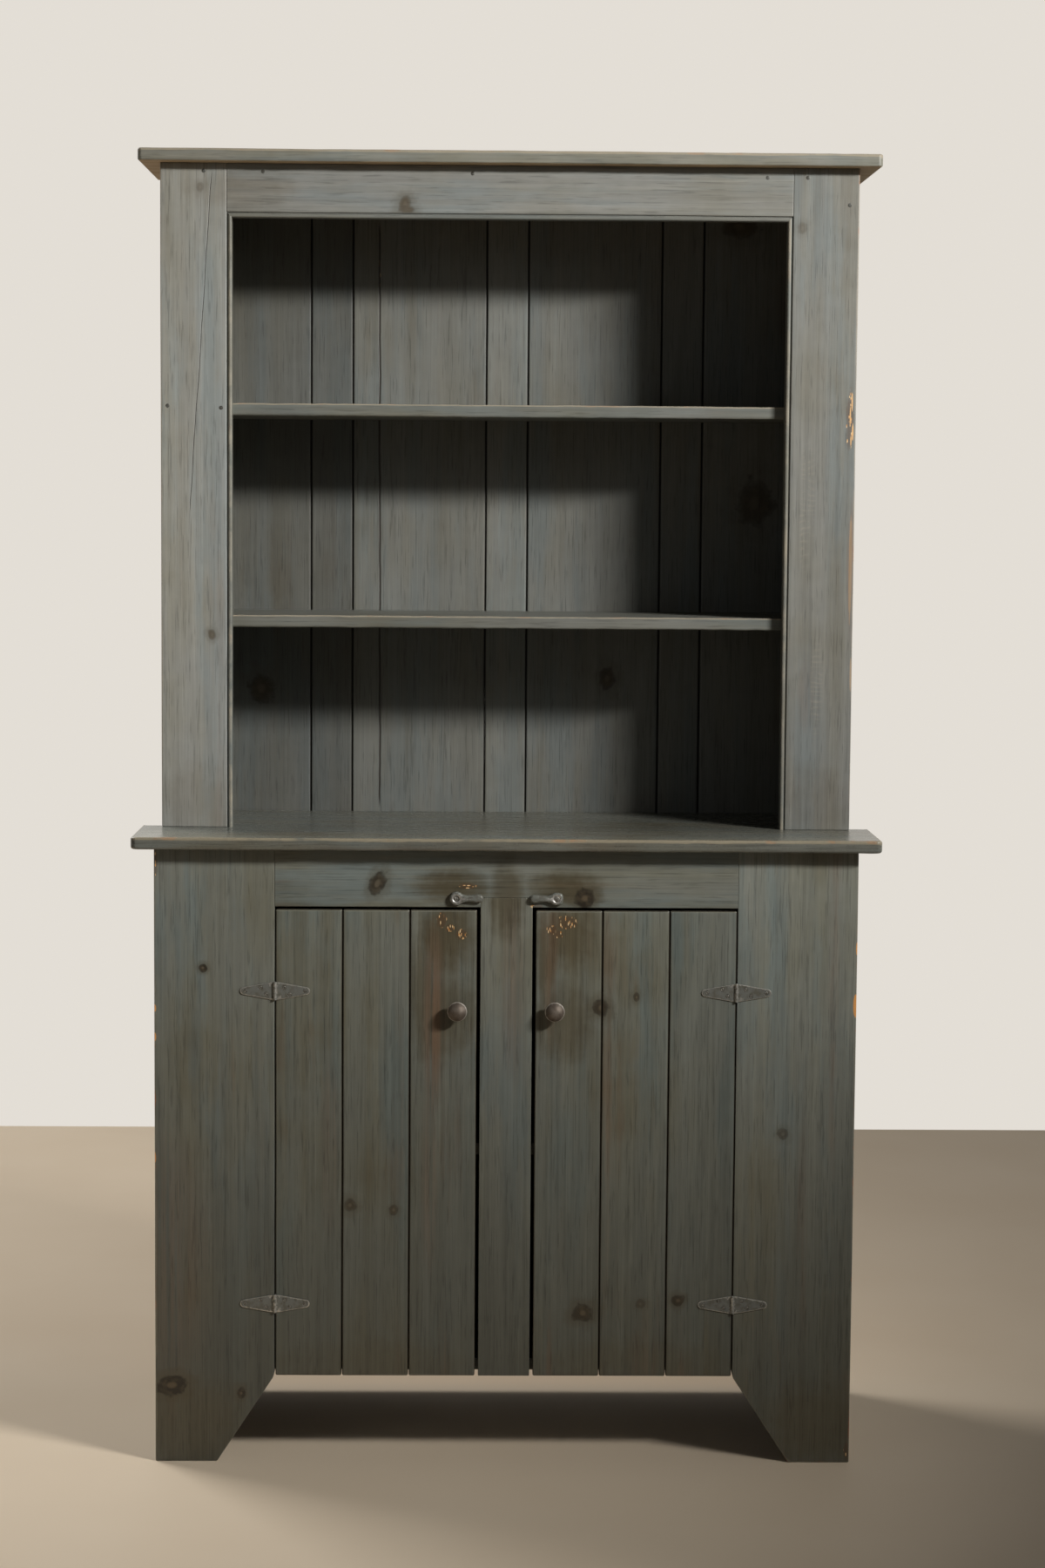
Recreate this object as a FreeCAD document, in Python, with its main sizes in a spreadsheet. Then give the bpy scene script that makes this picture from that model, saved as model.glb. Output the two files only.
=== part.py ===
import FreeCAD, Part
import Sketcher
import os
import re

# Painted pine step-back hutch, in millimetres.
# X runs to the right, Y from the front to the back and Z up from the floor.
# The origin lies on the floor, in the middle of the counter's outline.

doc = FreeCAD.newDocument("kitchen_hutch")

# Sizes

caseSizes = {
    "caseWidth": 1016,
    "caseHeight": 1887,
    "lowerDepth": 390,
    "stepBack": 122,
    "sideThick": 19,
    "frameThick": 19,
    "shelfThick": 18,
    "dadoDepth": 6,
    "rabbetWidth": 9.5,
    "backThick": 15,
    "backLift": 40,
    "backGap": 1.4,
    "narrowBack": 64,
    "wideBack": 205,
    "wornEdge": 1.2,
}

topSizes = {
    "topThick": 18,
    "topNose": 30,
    "topEar": 30,
    "topCorner": 7,
    "topRound": 3,
    "topEase": 1.5,
}

counterSizes = {
    "counterHeight": 920,
    "counterThick": 18,
    "counterNose": 29,
    "counterEar": 31,
    "counterCorner": 9,
    "counterRound": 3.5,
    "counterEase": 1.5,
}

upperSizes = {
    "upperStile": 96,
    "upperRail": 70,
    "beadWidth": 7.6,
    "quirkWidth": 1.6,
    "quirkDepth": 3,
    "beadRound": 2.7,
    "topShelfHeight": 1542,
    "middleShelfHeight": 1232,
}

lowerSizes = {
    "lowerStile": 173.5,
    "lowerRail": 84,
    "mullionWidth": 75,
    "mullionNotch": 14,
    "doorBottom": 128,
    "footWidth": 90,
    "footCorner": 10,
    "cupboardFloor": 150,
    "cupboardShelf": 470,
}

doorSizes = {
    "hingeGap": 1.5,
    "freeGap": 5,
    "topGap": 4,
    "doorThick": 18.5,
    "boardGap": 1.2,
    "battenWidth": 64,
    "battenThick": 19,
    "battenInset": 22,
    "doorEdge": 1.6,
}

hingeSizes = {
    "hingeDrop": 119,
    "hingeRise": 107,
    "leafReach": 50.6,
    "leafHeight": 25.6,
    "leafTip": 5.6,
    "leafThick": 1.6,
    "barrelRadius": 2.4,
    "pinRadius": 1.2,
    "knuckleHeight": 8.6,
    "knuckleGap": 0.3,
    "runningFit": 0.05,
}

knobSizes = {
    "knobInset": 28,
    "knobDrop": 146,
    "knobRadius": 14.5,
    "knobProud": 25,
    "knobNeck": 7,
    "knobUnder": 10,
    "knobRim": 16.5,
    "knobCrown": 8.5,
}

buttonSizes = {
    "buttonInset": 30,
    "buttonRise": 13,
    "buttonHead": 10,
    "buttonReach": 39,
    "buttonTip": 6,
    "buttonNeck": 4.6,
    "buttonNeckReach": 12,
    "buttonThick": 6.5,
    "buttonStand": 0.4,
    "buttonShoulder": 8,
    "buttonEdge": 1.4,
    "buttonScrewHead": 4.4,
    "buttonScrewShank": 2.4,
    "buttonScrewSink": 2,
    "buttonScrewLength": 24,
}

sheet = doc.addObject("Spreadsheet::Sheet", "sizes")
aliases = {}
for group in (caseSizes, topSizes, counterSizes, upperSizes, lowerSizes,
              doorSizes, hingeSizes, knobSizes, buttonSizes):
    for alias, value in group.items():
        aliases[alias] = value
        line = str(len(aliases))
        sheet.set("A" + line, alias)
        sheet.set("B" + line, str(value))
        sheet.setAlias("B" + line, alias)
doc.recompute()

# Planes and lines that several pieces share, worked out from the sizes

halfWidth = "(caseWidth / 2)"
lowerFace = "((counterNose - lowerDepth) / 2)"
upperFace = f"({lowerFace} + stepBack)"
backPlane = f"({lowerFace} + lowerDepth)"
backFront = f"({backPlane} - backThick)"
lowerBehind = f"({lowerFace} + frameThick)"
upperBehind = f"({upperFace} + frameThick)"
counterUnder = "(counterHeight - counterThick)"
insideWidth = "(caseWidth / 2 - sideThick)"
dadoWidth = "(caseWidth / 2 - sideThick + dadoDepth)"
openingSide = "(caseWidth / 2 - upperStile)"
openingTop = "(caseHeight - upperRail)"
doorOpening = "(caseWidth / 2 - lowerStile)"
railBottom = f"({counterUnder} - lowerRail)"
doorTop = f"({railBottom} - topGap)"
hingeAxis = "(caseWidth / 2 - lowerStile - hingeGap / 2)"
hingeFront = f"({lowerFace} - barrelRadius)"
doorOuter = "(caseWidth / 2 - lowerStile - hingeGap)"
doorInner = "(mullionWidth / 2 + freeGap)"
doorBack = f"({lowerFace} + doorThick)"
buttonPlace = f"({doorInner} + buttonInset)"
buttonLevel = f"({railBottom} + buttonRise)"
knobPlace = f"({doorInner} + knobInset)"
knobLevel = f"({doorTop} - knobDrop)"
upperHinge = f"({doorTop} - hingeDrop)"
lowerHinge = "(doorBottom + hingeRise)"

planeRoles = {"XY": "XY_Plane", "XZ": "XZ_Plane", "YZ": "YZ_Plane"}
nodes = []


# Writes the sheet's name before each of its aliases in an expression.
def bound(text):
    return re.sub(r"[a-z][A-Za-z]+", lambda word: f"sizes.{word.group(0)}", str(text))


def amount(text):
    result = sheet.evalExpression(bound(text))
    return float(getattr(result, "Value", result))


def minus(text):
    return f"(0 - {text})"


def mirrored(side, text):
    return text if side > 0 else minus(text)


def newBody(label):
    body = doc.addObject("PartDesign::Body", label)
    body.Label = label
    nodes.append(body)
    return body


def place(thing, x="0", y="0", z="0"):
    for axis, text in (("x", x), ("y", y), ("z", z)):
        thing.setExpression("Placement.Base." + axis, bound(text))


# A sketch on one of the body's own planes, moved along that plane's axis to a level.
def newSketch(body, plane, level):
    sketch = body.newObject("Sketcher::SketchObject", "Sketch")
    origin = [item for item in body.Origin.OriginFeatures if item.Role == planeRoles[plane]]
    sketch.AttachmentSupport = (origin[0], [""])
    sketch.MapMode = "FlatFace"
    along = minus(level) if plane == "XZ" else level
    sketch.setExpression("AttachmentOffset.Base.z", bound(along))
    return sketch


# Ties one sketch point to a named place.
def pin(sketch, line, end, x, y):
    for kind, text in (("DistanceX", x), ("DistanceY", y)):
        if text is not None:
            made = sketch.addConstraint(Sketcher.Constraint(kind, -1, 1, line, end, amount(text)))
            sketch.setExpression(f"Constraints[{made}]", bound(text))


# A closed outline of straight lines through the corners.
def outline(sketch, corners):
    points = [FreeCAD.Vector(amount(x), amount(y), 0) for x, y in corners]
    first = sketch.GeometryCount
    count = len(points)
    for index in range(count):
        sketch.addGeometry(Part.LineSegment(points[index], points[(index + 1) % count]))
    for index in range(count):
        following = first + (index + 1) % count
        sketch.addConstraint(Sketcher.Constraint("Coincident", first + index, 2, following, 1))
    for index, (x, y) in enumerate(corners):
        pin(sketch, first + index, 1, x, y)


def rectangle(left, low, right, high):
    return [(left, low), (right, low), (right, high), (left, high)]


def circle(sketch, x, y, radius):
    centre = FreeCAD.Vector(amount(x), amount(y), 0)
    shape = Part.Circle(centre, FreeCAD.Vector(0, 0, 1), amount(radius))
    line = sketch.addGeometry(shape)
    pin(sketch, line, 3, x, y)
    made = sketch.addConstraint(Sketcher.Constraint("Radius", line, amount(radius)))
    sketch.setExpression(f"Constraints[{made}]", bound(radius))


# Pads a sketch from its level along the positive axis of its plane, or back from it.
def pad(body, sketch, plane, length, back=False):
    feature = body.newObject("PartDesign::Pad", "Pad")
    feature.Profile = sketch
    feature.setExpression("Length", bound(length))
    feature.Reversed = (plane == "XZ") != back
    return feature


# Cuts a sketch from its level along the positive axis of its plane, or back from it.
def pocket(body, sketch, plane, length, back=False):
    feature = body.newObject("PartDesign::Pocket", "Pocket")
    feature.Profile = sketch
    feature.setExpression("Length", bound(length))
    feature.Reversed = (plane != "XZ") != back
    return feature


# A board cut to an outline: its sketch lies at one face and the pad gives its thickness.
def board(label, plane, corners, level, thick):
    body = newBody(label)
    sketch = newSketch(body, plane, level)
    outline(sketch, corners)
    pad(body, sketch, plane, thick)
    return body


def cut(body, plane, corners, level, length, back=False):
    sketch = newSketch(body, plane, level)
    outline(sketch, corners)
    pocket(body, sketch, plane, length, back)


def bore(body, centres, radius, level, length, plane="XZ", back=False):
    sketch = newSketch(body, plane, level)
    for x, y in centres:
        circle(sketch, x, y, radius)
    pocket(body, sketch, plane, length, back)


# Rounds or bevels the edges whose middle and direction the test accepts.
def soften(body, size, test, kind="Fillet"):
    doc.recompute()
    base = body.Tip
    chosen = []
    for number, edge in enumerate(base.Shape.Edges, 1):
        if edge.Degenerated:
            continue
        middle = edge.valueAt((edge.FirstParameter + edge.LastParameter) / 2)
        along = edge.tangentAt((edge.FirstParameter + edge.LastParameter) / 2)
        if test(edge, middle, along):
            chosen.append(f"Edge{number}")
    feature = body.newObject("PartDesign::" + kind, kind)
    feature.Base = (base, chosen)
    feature.setExpression("Radius" if kind == "Fillet" else "Size", bound(size))
    doc.recompute()


def level(value, text):
    return abs(value - amount(text)) < amount("knuckleGap") / 100


# Carcass


def sideBoard(label, side):
    inner = mirrored(side, insideWidth)
    body = board(label, "YZ", [
        (lowerBehind, "0"),
        (backPlane, "0"),
        (backPlane, "caseHeight"),
        (upperBehind, "caseHeight"),
        (upperBehind, counterUnder),
        (lowerBehind, counterUnder),
    ], inner if side > 0 else minus(halfWidth), "sideThick")
    dadoLevel = inner if side > 0 else minus(insideWidth)
    for top, front in (
        ("topShelfHeight", upperBehind),
        ("middleShelfHeight", upperBehind),
        ("cupboardShelf", lowerBehind),
        ("cupboardFloor", lowerBehind),
    ):
        slot = rectangle(front, f"({top} - shelfThick)", backFront, top)
        cut(body, "YZ", slot, dadoLevel, "dadoDepth", back=side < 0)
    rabbet = rectangle(backFront, "backLift", backPlane, "caseHeight")
    cut(body, "YZ", rabbet, dadoLevel, "rabbetWidth", back=side < 0)


sideBoard("side_left", -1)
sideBoard("side_right", 1)


def shelf(label, top, front):
    corners = rectangle(minus(dadoWidth), front, dadoWidth, backFront)
    body = board(label, "XY", corners, f"({top} - shelfThick)", "shelfThick")
    return body


for label, top in (("shelf_upper", "topShelfHeight"), ("shelf_middle", "middleShelfHeight")):
    body = shelf(label, top, upperBehind)
    soften(body, "wornEdge", lambda edge, middle, along:
           level(middle.y, upperBehind) and abs(along.x) == 1, "Chamfer")

for label, top in (("cupboard_shelf", "cupboardShelf"), ("cupboard_floor", "cupboardFloor")):
    shelf(label, top, lowerBehind)

# Back boards, in rabbets of the side boards: narrow ones at the middle and at each quarter

backHalf = f"({insideWidth} + rabbetWidth)"
middleEdge = "(narrowBack / 2)"
quarterEdge = f"({middleEdge} + wideBack)"
outerEdge = f"({quarterEdge} + narrowBack)"
backEdges = [minus(backHalf), minus(outerEdge), minus(quarterEdge), minus(middleEdge),
             middleEdge, quarterEdge, outerEdge, backHalf]
for number in range(1, len(backEdges)):
    left = backEdges[number - 1]
    right = backEdges[number]
    if number > 1:
        left = f"({left} + backGap / 2)"
    if number < len(backEdges) - 1:
        right = f"({right} - backGap / 2)"
    corners = rectangle(left, "backLift", right, "caseHeight")
    body = board(f"back_board_{number}", "XZ", corners, backFront, "backThick")
    soften(body, "wornEdge", lambda edge, middle, along:
           level(middle.y, backFront) and abs(along.z) == 1, "Chamfer")

# Counter top, notched round the side boards

ear = f"({halfWidth} + counterEar)"
counterFront = f"({lowerFace} - counterNose)"
counter = board("counter_top", "XY", [
    (minus(ear), counterFront),
    (ear, counterFront),
    (ear, upperBehind),
    (insideWidth, upperBehind),
    (insideWidth, backFront),
    (minus(insideWidth), backFront),
    (minus(insideWidth), upperBehind),
    (minus(ear), upperBehind),
], counterUnder, "counterThick")
soften(counter, "counterCorner", lambda edge, middle, along:
       abs(along.z) == 1 and level(middle.y, counterFront))
soften(counter, "counterRound", lambda edge, middle, along:
       level(middle.z, "counterHeight") and middle.y < amount(lowerFace))
soften(counter, "counterEase", lambda edge, middle, along:
       level(middle.z, counterUnder) and middle.y < amount(lowerFace), "Chamfer")

# Top board

topSide = f"({halfWidth} + topEar)"
topFront = f"({upperFace} - topNose)"
top = board("top_board", "XY", rectangle(minus(topSide), topFront, topSide, backPlane),
            "caseHeight", "topThick")
soften(top, "topCorner", lambda edge, middle, along:
       abs(along.z) == 1 and level(middle.y, topFront))
soften(top, "topRound", lambda edge, middle, along:
       level(middle.z, "caseHeight + topThick") and middle.y < amount(upperFace))
soften(top, "topEase", lambda edge, middle, along:
       level(middle.z, "caseHeight") and middle.y < amount(upperFace), "Chamfer")

# Upper face frame

for label, side in (("upper_stile_left", -1), ("upper_stile_right", 1)):
    edges = sorted((mirrored(side, openingSide), mirrored(side, halfWidth)), key=amount)
    corners = rectangle(edges[0], "counterHeight", edges[1], "caseHeight")
    body = board(label, "XZ", corners, upperFace, "frameThick")
    soften(body, "wornEdge", lambda edge, middle, along:
           level(middle.y, upperFace) and abs(along.z) == 1, "Chamfer")

board("upper_rail", "XZ", rectangle(minus(openingSide), openingTop, openingSide, "caseHeight"),
      upperFace, "frameThick")

# Bead strips: a quirk beside a rounded nose, mitred where they meet

beadInner = f"({openingSide} - beadWidth)"
beadTop = f"({openingTop} - beadWidth)"


def beadSection(outer, inner, across):
    groove = f"({outer} - quirkWidth)" if amount(outer) > amount(inner) else f"({outer} + quirkWidth)"
    deep = f"({upperFace} + quirkDepth)"
    points = [
        (outer, deep),
        (groove, deep),
        (groove, upperFace),
        (inner, upperFace),
        (inner, upperBehind),
        (outer, upperBehind),
    ]
    return [(y, x) for x, y in points] if across else points


def beadNose(groove, inner, axis):
    def test(edge, middle, along):
        place = middle.x if axis == "x" else middle.z
        return level(middle.y, upperFace) and (level(place, groove) or level(place, inner))
    return test


for label, side in (("bead_left", -1), ("bead_right", 1)):
    outer = mirrored(side, openingSide)
    inner = mirrored(side, beadInner)
    groove = mirrored(side, f"({openingSide} - quirkWidth)")
    body = board(label, "XY", beadSection(outer, inner, False), "counterHeight",
                 f"({openingTop} - counterHeight)")
    soften(body, "beadRound", beadNose(groove, inner, "x"))
    mitre = [(outer, openingTop), (inner, openingTop), (inner, beadTop)]
    cut(body, "XZ", mitre, upperFace, "frameThick")

body = board("bead_top", "YZ", beadSection(openingTop, beadTop, True), minus(openingSide),
             f"({openingSide} * 2)")
soften(body, "beadRound", beadNose(f"({openingTop} - quirkWidth)", beadTop, "z"))
for side in (-1, 1):
    mitre = [
        (mirrored(side, openingSide), openingTop),
        (mirrored(side, openingSide), beadTop),
        (mirrored(side, beadInner), beadTop),
    ]
    cut(body, "XZ", mitre, upperFace, "frameThick")

# Lower face frame

for label, side in (("lower_stile_left", -1), ("lower_stile_right", 1)):
    body = board(label, "XZ", [
        (mirrored(side, halfWidth), "0"),
        (mirrored(side, f"({halfWidth} - footWidth)"), "0"),
        (mirrored(side, doorOpening), "doorBottom"),
        (mirrored(side, doorOpening), counterUnder),
        (mirrored(side, halfWidth), counterUnder),
    ], lowerFace, "frameThick")
    soften(body, "footCorner", lambda edge, middle, along:
           abs(along.y) == 1 and level(middle.z, "0") and abs(middle.x) < amount(insideWidth))
    soften(body, "wornEdge", lambda edge, middle, along:
           level(middle.y, lowerFace) and abs(along.z) == 1, "Chamfer")

halfMullion = "(mullionWidth / 2)"
mullionTop = f"({railBottom} + mullionNotch)"
body = board("lower_rail", "XZ", [
    (minus(doorOpening), railBottom),
    (minus(halfMullion), railBottom),
    (minus(halfMullion), mullionTop),
    (halfMullion, mullionTop),
    (halfMullion, railBottom),
    (doorOpening, railBottom),
    (doorOpening, counterUnder),
    (minus(doorOpening), counterUnder),
], lowerFace, "frameThick")
pivots = [(minus(buttonPlace), buttonLevel), (buttonPlace, buttonLevel)]
bore(body, pivots, "buttonScrewShank + runningFit", lowerFace, "frameThick")

body = board("mullion", "XZ", rectangle(minus(halfMullion), "doorBottom", halfMullion, mullionTop),
             lowerFace, "frameThick")
soften(body, "wornEdge", lambda edge, middle, along:
       level(middle.y, lowerFace) and abs(along.z) == 1, "Chamfer")

# Doors: three boards held by two battens, with a knob by the free edge

hinges = [("upper", upperHinge), ("lower", lowerHinge)]
boardWidth = f"(({doorOuter} - {doorInner} - boardGap * 2) / 3)"
battenFar = f"({doorOuter} - battenInset)"
battenNear = f"({doorInner} + battenInset)"


def doorBoard(label, side, number):
    inner = f"({doorInner} + ({boardWidth} + boardGap) * {number})"
    outer = f"({inner} + {boardWidth})"
    edges = sorted((mirrored(side, inner), mirrored(side, outer)), key=amount)
    body = board(label, "XZ", rectangle(edges[0], "doorBottom", edges[1], doorTop),
                 lowerFace, "doorThick")
    soften(body, "doorEdge", lambda edge, middle, along: level(middle.y, lowerFace), "Chamfer")


def batten(label, side, height):
    edges = sorted((mirrored(side, battenNear), mirrored(side, battenFar)), key=amount)
    body = board(label, "XZ", rectangle(edges[0], f"({height} - battenWidth / 2)",
                                        edges[1], f"({height} + battenWidth / 2)"),
                 doorBack, "battenThick")
    behind = f"({doorBack} + battenThick)"
    soften(body, "doorEdge", lambda edge, middle, along: level(middle.y, behind), "Chamfer")


# Turned about its own axis, which points out of the door.
def knob(label, side):
    body = newBody(label)
    sketch = newSketch(body, "XY", "0")
    outline(sketch, [
        ("0", "0"),
        ("knobNeck", "0"),
        ("knobNeck", minus("knobUnder")),
        ("knobRadius", minus("knobUnder")),
        ("knobRadius", minus("knobRim")),
        ("knobCrown", minus("knobProud")),
        ("0", minus("knobProud")),
    ])
    turned = body.newObject("PartDesign::Revolution", "Revolution")
    turned.Profile = sketch
    turned.ReferenceAxis = (sketch, ["V_Axis"])
    turned.Angle = 360
    place(body, mirrored(side, knobPlace), lowerFace, knobLevel)


# Strap hinge leaf, drawn round the hinge axis: a tapered plate and its share of the barrel.
# The leaf on the case also carries the pin.
def leaf(label, side, height, onDoor):
    body = newBody(label)
    way = -side if onDoor else side
    plate = newSketch(body, "XZ", "barrelRadius")
    tip = "(leafReach - leafTip)"
    outline(plate, [
        ("0", "(0 - leafHeight / 2)"),
        (mirrored(way, "(barrelRadius * 2)"), "(0 - leafHeight / 2)"),
        (mirrored(way, tip), "(0 - leafTip)"),
        (mirrored(way, tip), "leafTip"),
        (mirrored(way, "(barrelRadius * 2)"), "(leafHeight / 2)"),
        ("0", "(leafHeight / 2)"),
    ])
    pad(body, plate, "XZ", "leafThick", back=True)
    end = newSketch(body, "XZ", "barrelRadius")
    circle(end, mirrored(way, tip), "0", "leafTip")
    pad(body, end, "XZ", "leafThick", back=True)
    whole = "(knuckleHeight * 1.5 + knuckleGap)"
    centre = "(knuckleHeight / 2)"
    knuckles = [minus(centre)] if onDoor else [f"({centre} + knuckleGap)", minus(whole)]
    for low in knuckles:
        ring = newSketch(body, "XY", low)
        circle(ring, "0", "0", "barrelRadius")
        pad(body, ring, "XY", "knuckleHeight")
    gaps = [f"({centre})", minus(whole)] if onDoor else [f"(0 - {centre} - knuckleGap)"]
    span = "(knuckleHeight + knuckleGap)" if onDoor else "(knuckleHeight + knuckleGap * 2)"
    wide = "(barrelRadius + knuckleGap)"
    for low in gaps:
        cut(body, "XY", rectangle(minus(wide), minus(wide), wide, wide), low, span)
    if onDoor:
        bore(body, [("0", "0")], "pinRadius + runningFit", minus(centre), "knuckleHeight", "XY")
    else:
        rod = newSketch(body, "XY", f"(0 - {centre} - knuckleGap)")
        circle(rod, "0", "0", "pinRadius")
        pad(body, rod, "XY", span)
    place(body, mirrored(side, hingeAxis), hingeFront, height)


for name, side in (("door_left", -1), ("door_right", 1)):
    for number in range(3):
        doorBoard(f"{name}_board_{number + 1}", side, number)
    knob(f"{name}_knob", side)
    for level_name, height in hinges:
        batten(f"{name}_batten_{level_name}", side, height)
        leaf(f"{name}_{level_name}_hinge_door_leaf", side, height, True)
        leaf(f"{name}_{level_name}_hinge_case_leaf", side, height, False)

# Turn buttons, drawn round the pivot screw with the tail level


def turnButton(label, side):
    body = newBody(label)
    way = -side
    stand = minus("buttonStand")
    head = newSketch(body, "XZ", stand)
    circle(head, "0", "0", "buttonHead")
    pad(body, head, "XZ", "buttonThick", back=True)
    tip = "(buttonReach - buttonTip)"
    tail = newSketch(body, "XZ", stand)
    outline(tail, [
        (mirrored(way, "(buttonHead / 2)"), "(0 - buttonShoulder)"),
        (mirrored(way, "buttonNeckReach"), "(0 - buttonNeck)"),
        (mirrored(way, tip), "(0 - buttonTip)"),
        (mirrored(way, tip), "buttonTip"),
        (mirrored(way, "buttonNeckReach"), "buttonNeck"),
        (mirrored(way, "(buttonHead / 2)"), "buttonShoulder"),
    ])
    pad(body, tail, "XZ", "buttonThick", back=True)
    end = newSketch(body, "XZ", stand)
    circle(end, mirrored(way, tip), "0", "buttonTip")
    pad(body, end, "XZ", "buttonThick", back=True)
    front = "(0 - buttonStand - buttonThick)"
    soften(body, "buttonEdge", lambda edge, middle, along: level(middle.y, front), "Chamfer")
    bore(body, [("0", "0")], "buttonScrewShank + runningFit", front,
         "(buttonStand + buttonThick)")
    soften(body, "buttonScrewSink", lambda edge, middle, along:
           edge.Curve.TypeId == "Part::GeomCircle"
           and level(edge.Curve.Radius, "buttonScrewShank + runningFit")
           and level(middle.y, front), "Chamfer")
    place(body, mirrored(side, buttonPlace), lowerFace, buttonLevel)


turnButton("turn_button_left", -1)
turnButton("turn_button_right", 1)

# The countersunk screws that the turn buttons turn on, let into the rail

screws = []
for x, z in pivots:
    turn = FreeCAD.Rotation(FreeCAD.Vector(1, 0, 0), -90)
    cone = doc.addObject("Part::Cone", "ScrewHead")
    cone.setExpression("Radius1", bound("buttonScrewHead"))
    cone.setExpression("Radius2", bound("buttonScrewShank"))
    cone.setExpression("Height", bound("buttonScrewSink"))
    stem = doc.addObject("Part::Cylinder", "ScrewShank")
    stem.setExpression("Radius", bound("buttonScrewShank"))
    stem.setExpression("Height", bound("buttonScrewLength"))
    for part in (cone, stem):
        part.Placement = FreeCAD.Placement(FreeCAD.Vector(0, 0, 0), turn)
        place(part, x, f"({lowerFace} - buttonStand - buttonThick)", z)
    screw = doc.addObject("Part::Fuse", "Screw")
    screw.Base = cone
    screw.Tool = stem
    screws.append(screw)
gathered = doc.addObject("Part::Compound", "turn_button_screws")
gathered.Links = screws
nodes.append(gathered)

# Check and write

doc.recompute()
for item in doc.Objects:
    if "Invalid" in item.State or "Error" in item.State:
        raise RuntimeError(f"{item.Label} failed: {item.State}")
for node in nodes:
    if node.Shape.isNull() or not node.Shape.isValid():
        raise RuntimeError(f"{node.Label} has no valid shape")

os.makedirs("parts", exist_ok=True)
for node in nodes:
    node.Shape.exportStep(f"parts/{node.Label}.step")
print(len(nodes), "nodes written")
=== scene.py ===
import math
import operator
import random
from functools import reduce
import bpy
import bmesh
from bmesh import ops
from mathutils import Matrix, Vector, noise


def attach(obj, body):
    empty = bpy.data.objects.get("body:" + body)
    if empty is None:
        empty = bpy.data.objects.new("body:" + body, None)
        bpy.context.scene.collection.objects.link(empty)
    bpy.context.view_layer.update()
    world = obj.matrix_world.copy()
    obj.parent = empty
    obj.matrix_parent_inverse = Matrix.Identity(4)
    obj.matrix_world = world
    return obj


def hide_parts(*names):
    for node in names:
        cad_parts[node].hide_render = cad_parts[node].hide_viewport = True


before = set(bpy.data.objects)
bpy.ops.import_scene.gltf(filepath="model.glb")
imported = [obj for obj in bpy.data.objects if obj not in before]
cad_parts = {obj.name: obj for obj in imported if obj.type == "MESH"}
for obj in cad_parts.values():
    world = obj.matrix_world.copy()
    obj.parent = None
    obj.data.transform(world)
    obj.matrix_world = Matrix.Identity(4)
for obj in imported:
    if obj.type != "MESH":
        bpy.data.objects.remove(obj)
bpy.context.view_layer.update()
mm = 0.001  # lengths are written in millimetres and made metres where the mesh is made
noise.seed_set(7)


# Shader maths is written with ordinary signs
def sign(operation, swapped=False):
    def act(self, other):
        return self.finish.maths(operation, *((other, self) if swapped else (self, other)))
    return act


class Wire:
    __add__, __radd__ = sign("ADD"), sign("ADD", True)
    __sub__, __rsub__ = sign("SUBTRACT"), sign("SUBTRACT", True)
    __mul__, __truediv__ = sign("MULTIPLY"), sign("DIVIDE")
    __or__ = sign("MAXIMUM")  # the stronger of two masks

    def __init__(self, finish, socket):
        self.finish, self.socket = finish, socket

    def out(self, name):
        return Wire(self.finish, self.socket.node.outputs[name])


def strongest(masks):
    return reduce(operator.or_, masks)


# The nodes of one material, or of the world
class Finish:
    def __init__(self, owner):
        owner.use_nodes = True
        self.owner, self.tree = owner, owner.node_tree
        self.tree.nodes.clear()

    def node(self, kind, settings=None, sockets=None, output=0):
        made = self.tree.nodes.new("ShaderNode" + kind)
        for key, value in (settings or {}).items():
            setattr(made, key, value)
        for key, value in (sockets or {}).items():
            socket = made.inputs[key]
            if isinstance(value, Wire):
                self.tree.links.new(value.socket, socket)
            else:
                socket.default_value = (*value, 1) if socket.type == "RGBA" else value
        return Wire(self, made.outputs[output]) if made.outputs else made

    def maths(self, operation, *terms):
        return self.node("Math", {"operation": operation}, dict(enumerate(terms)))

    def attribute(self, name, output="Fac"):
        return self.node("Attribute", {"attribute_name": name}, output=output)

    def grainOf(self, vector, scale, detail=3, rough=0.5):
        if not isinstance(scale, tuple):
            scale = (scale, scale, scale)
        stretched = self.node("VectorMath", {"operation": "MULTIPLY"}, {0: vector, 1: scale})
        return self.node("TexNoise", None, {"Vector": stretched, "Scale": 1.0, "Detail": detail, "Roughness": rough})

    def step(self, value, low, high):
        return self.node("MapRange", {"interpolation_type": "SMOOTHSTEP"},
                         {"Value": value, "From Min": low, "From Max": high})

    def mix(self, first, second, share):
        return self.node("Mix", {"data_type": "RGBA"}, {0: share, 6: first, 7: second}, 2)

    def strength(self, colour, amount):
        return self.node("VectorMath", {"operation": "SCALE"}, {0: colour, "Scale": amount})

    def coat(self, tint, share):
        self.colour = self.mix(self.colour, tint, share)

    def spot(self, x, z, wide, high, lean=0.0, ragged=None):
        # squared distance from an ellipse's centre, 1 on its rim
        c, s = math.cos(math.radians(lean)), math.sin(math.radians(lean))
        dx, dz = self.px - x * mm, self.pz - z * mm
        u = (dx * c + dz * s) / (wide * mm) if lean else dx / (wide * mm)
        v = (dz * c - dx * s) / (high * mm) if lean else dz / (high * mm)
        away = u * u + v * v
        return away + ragged if ragged else away

    def blot(self, shape, ragged, near, far):  # 1 inside a ragged ellipse and 0 outside
        return 1 - self.step(self.spot(*shape, 0, ragged), near, far)

    def surface(self, sockets, height=None, bump=1.0):
        if height:
            sockets["Normal"] = self.node("Bump", None,
                                          {"Height": height, "Distance": 1.0, "Strength": bump}, "Normal")
        shader = self.node("BsdfPrincipled", None, sockets)
        self.node("OutputMaterial", None, {"Surface": shader})
        return self.owner


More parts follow.
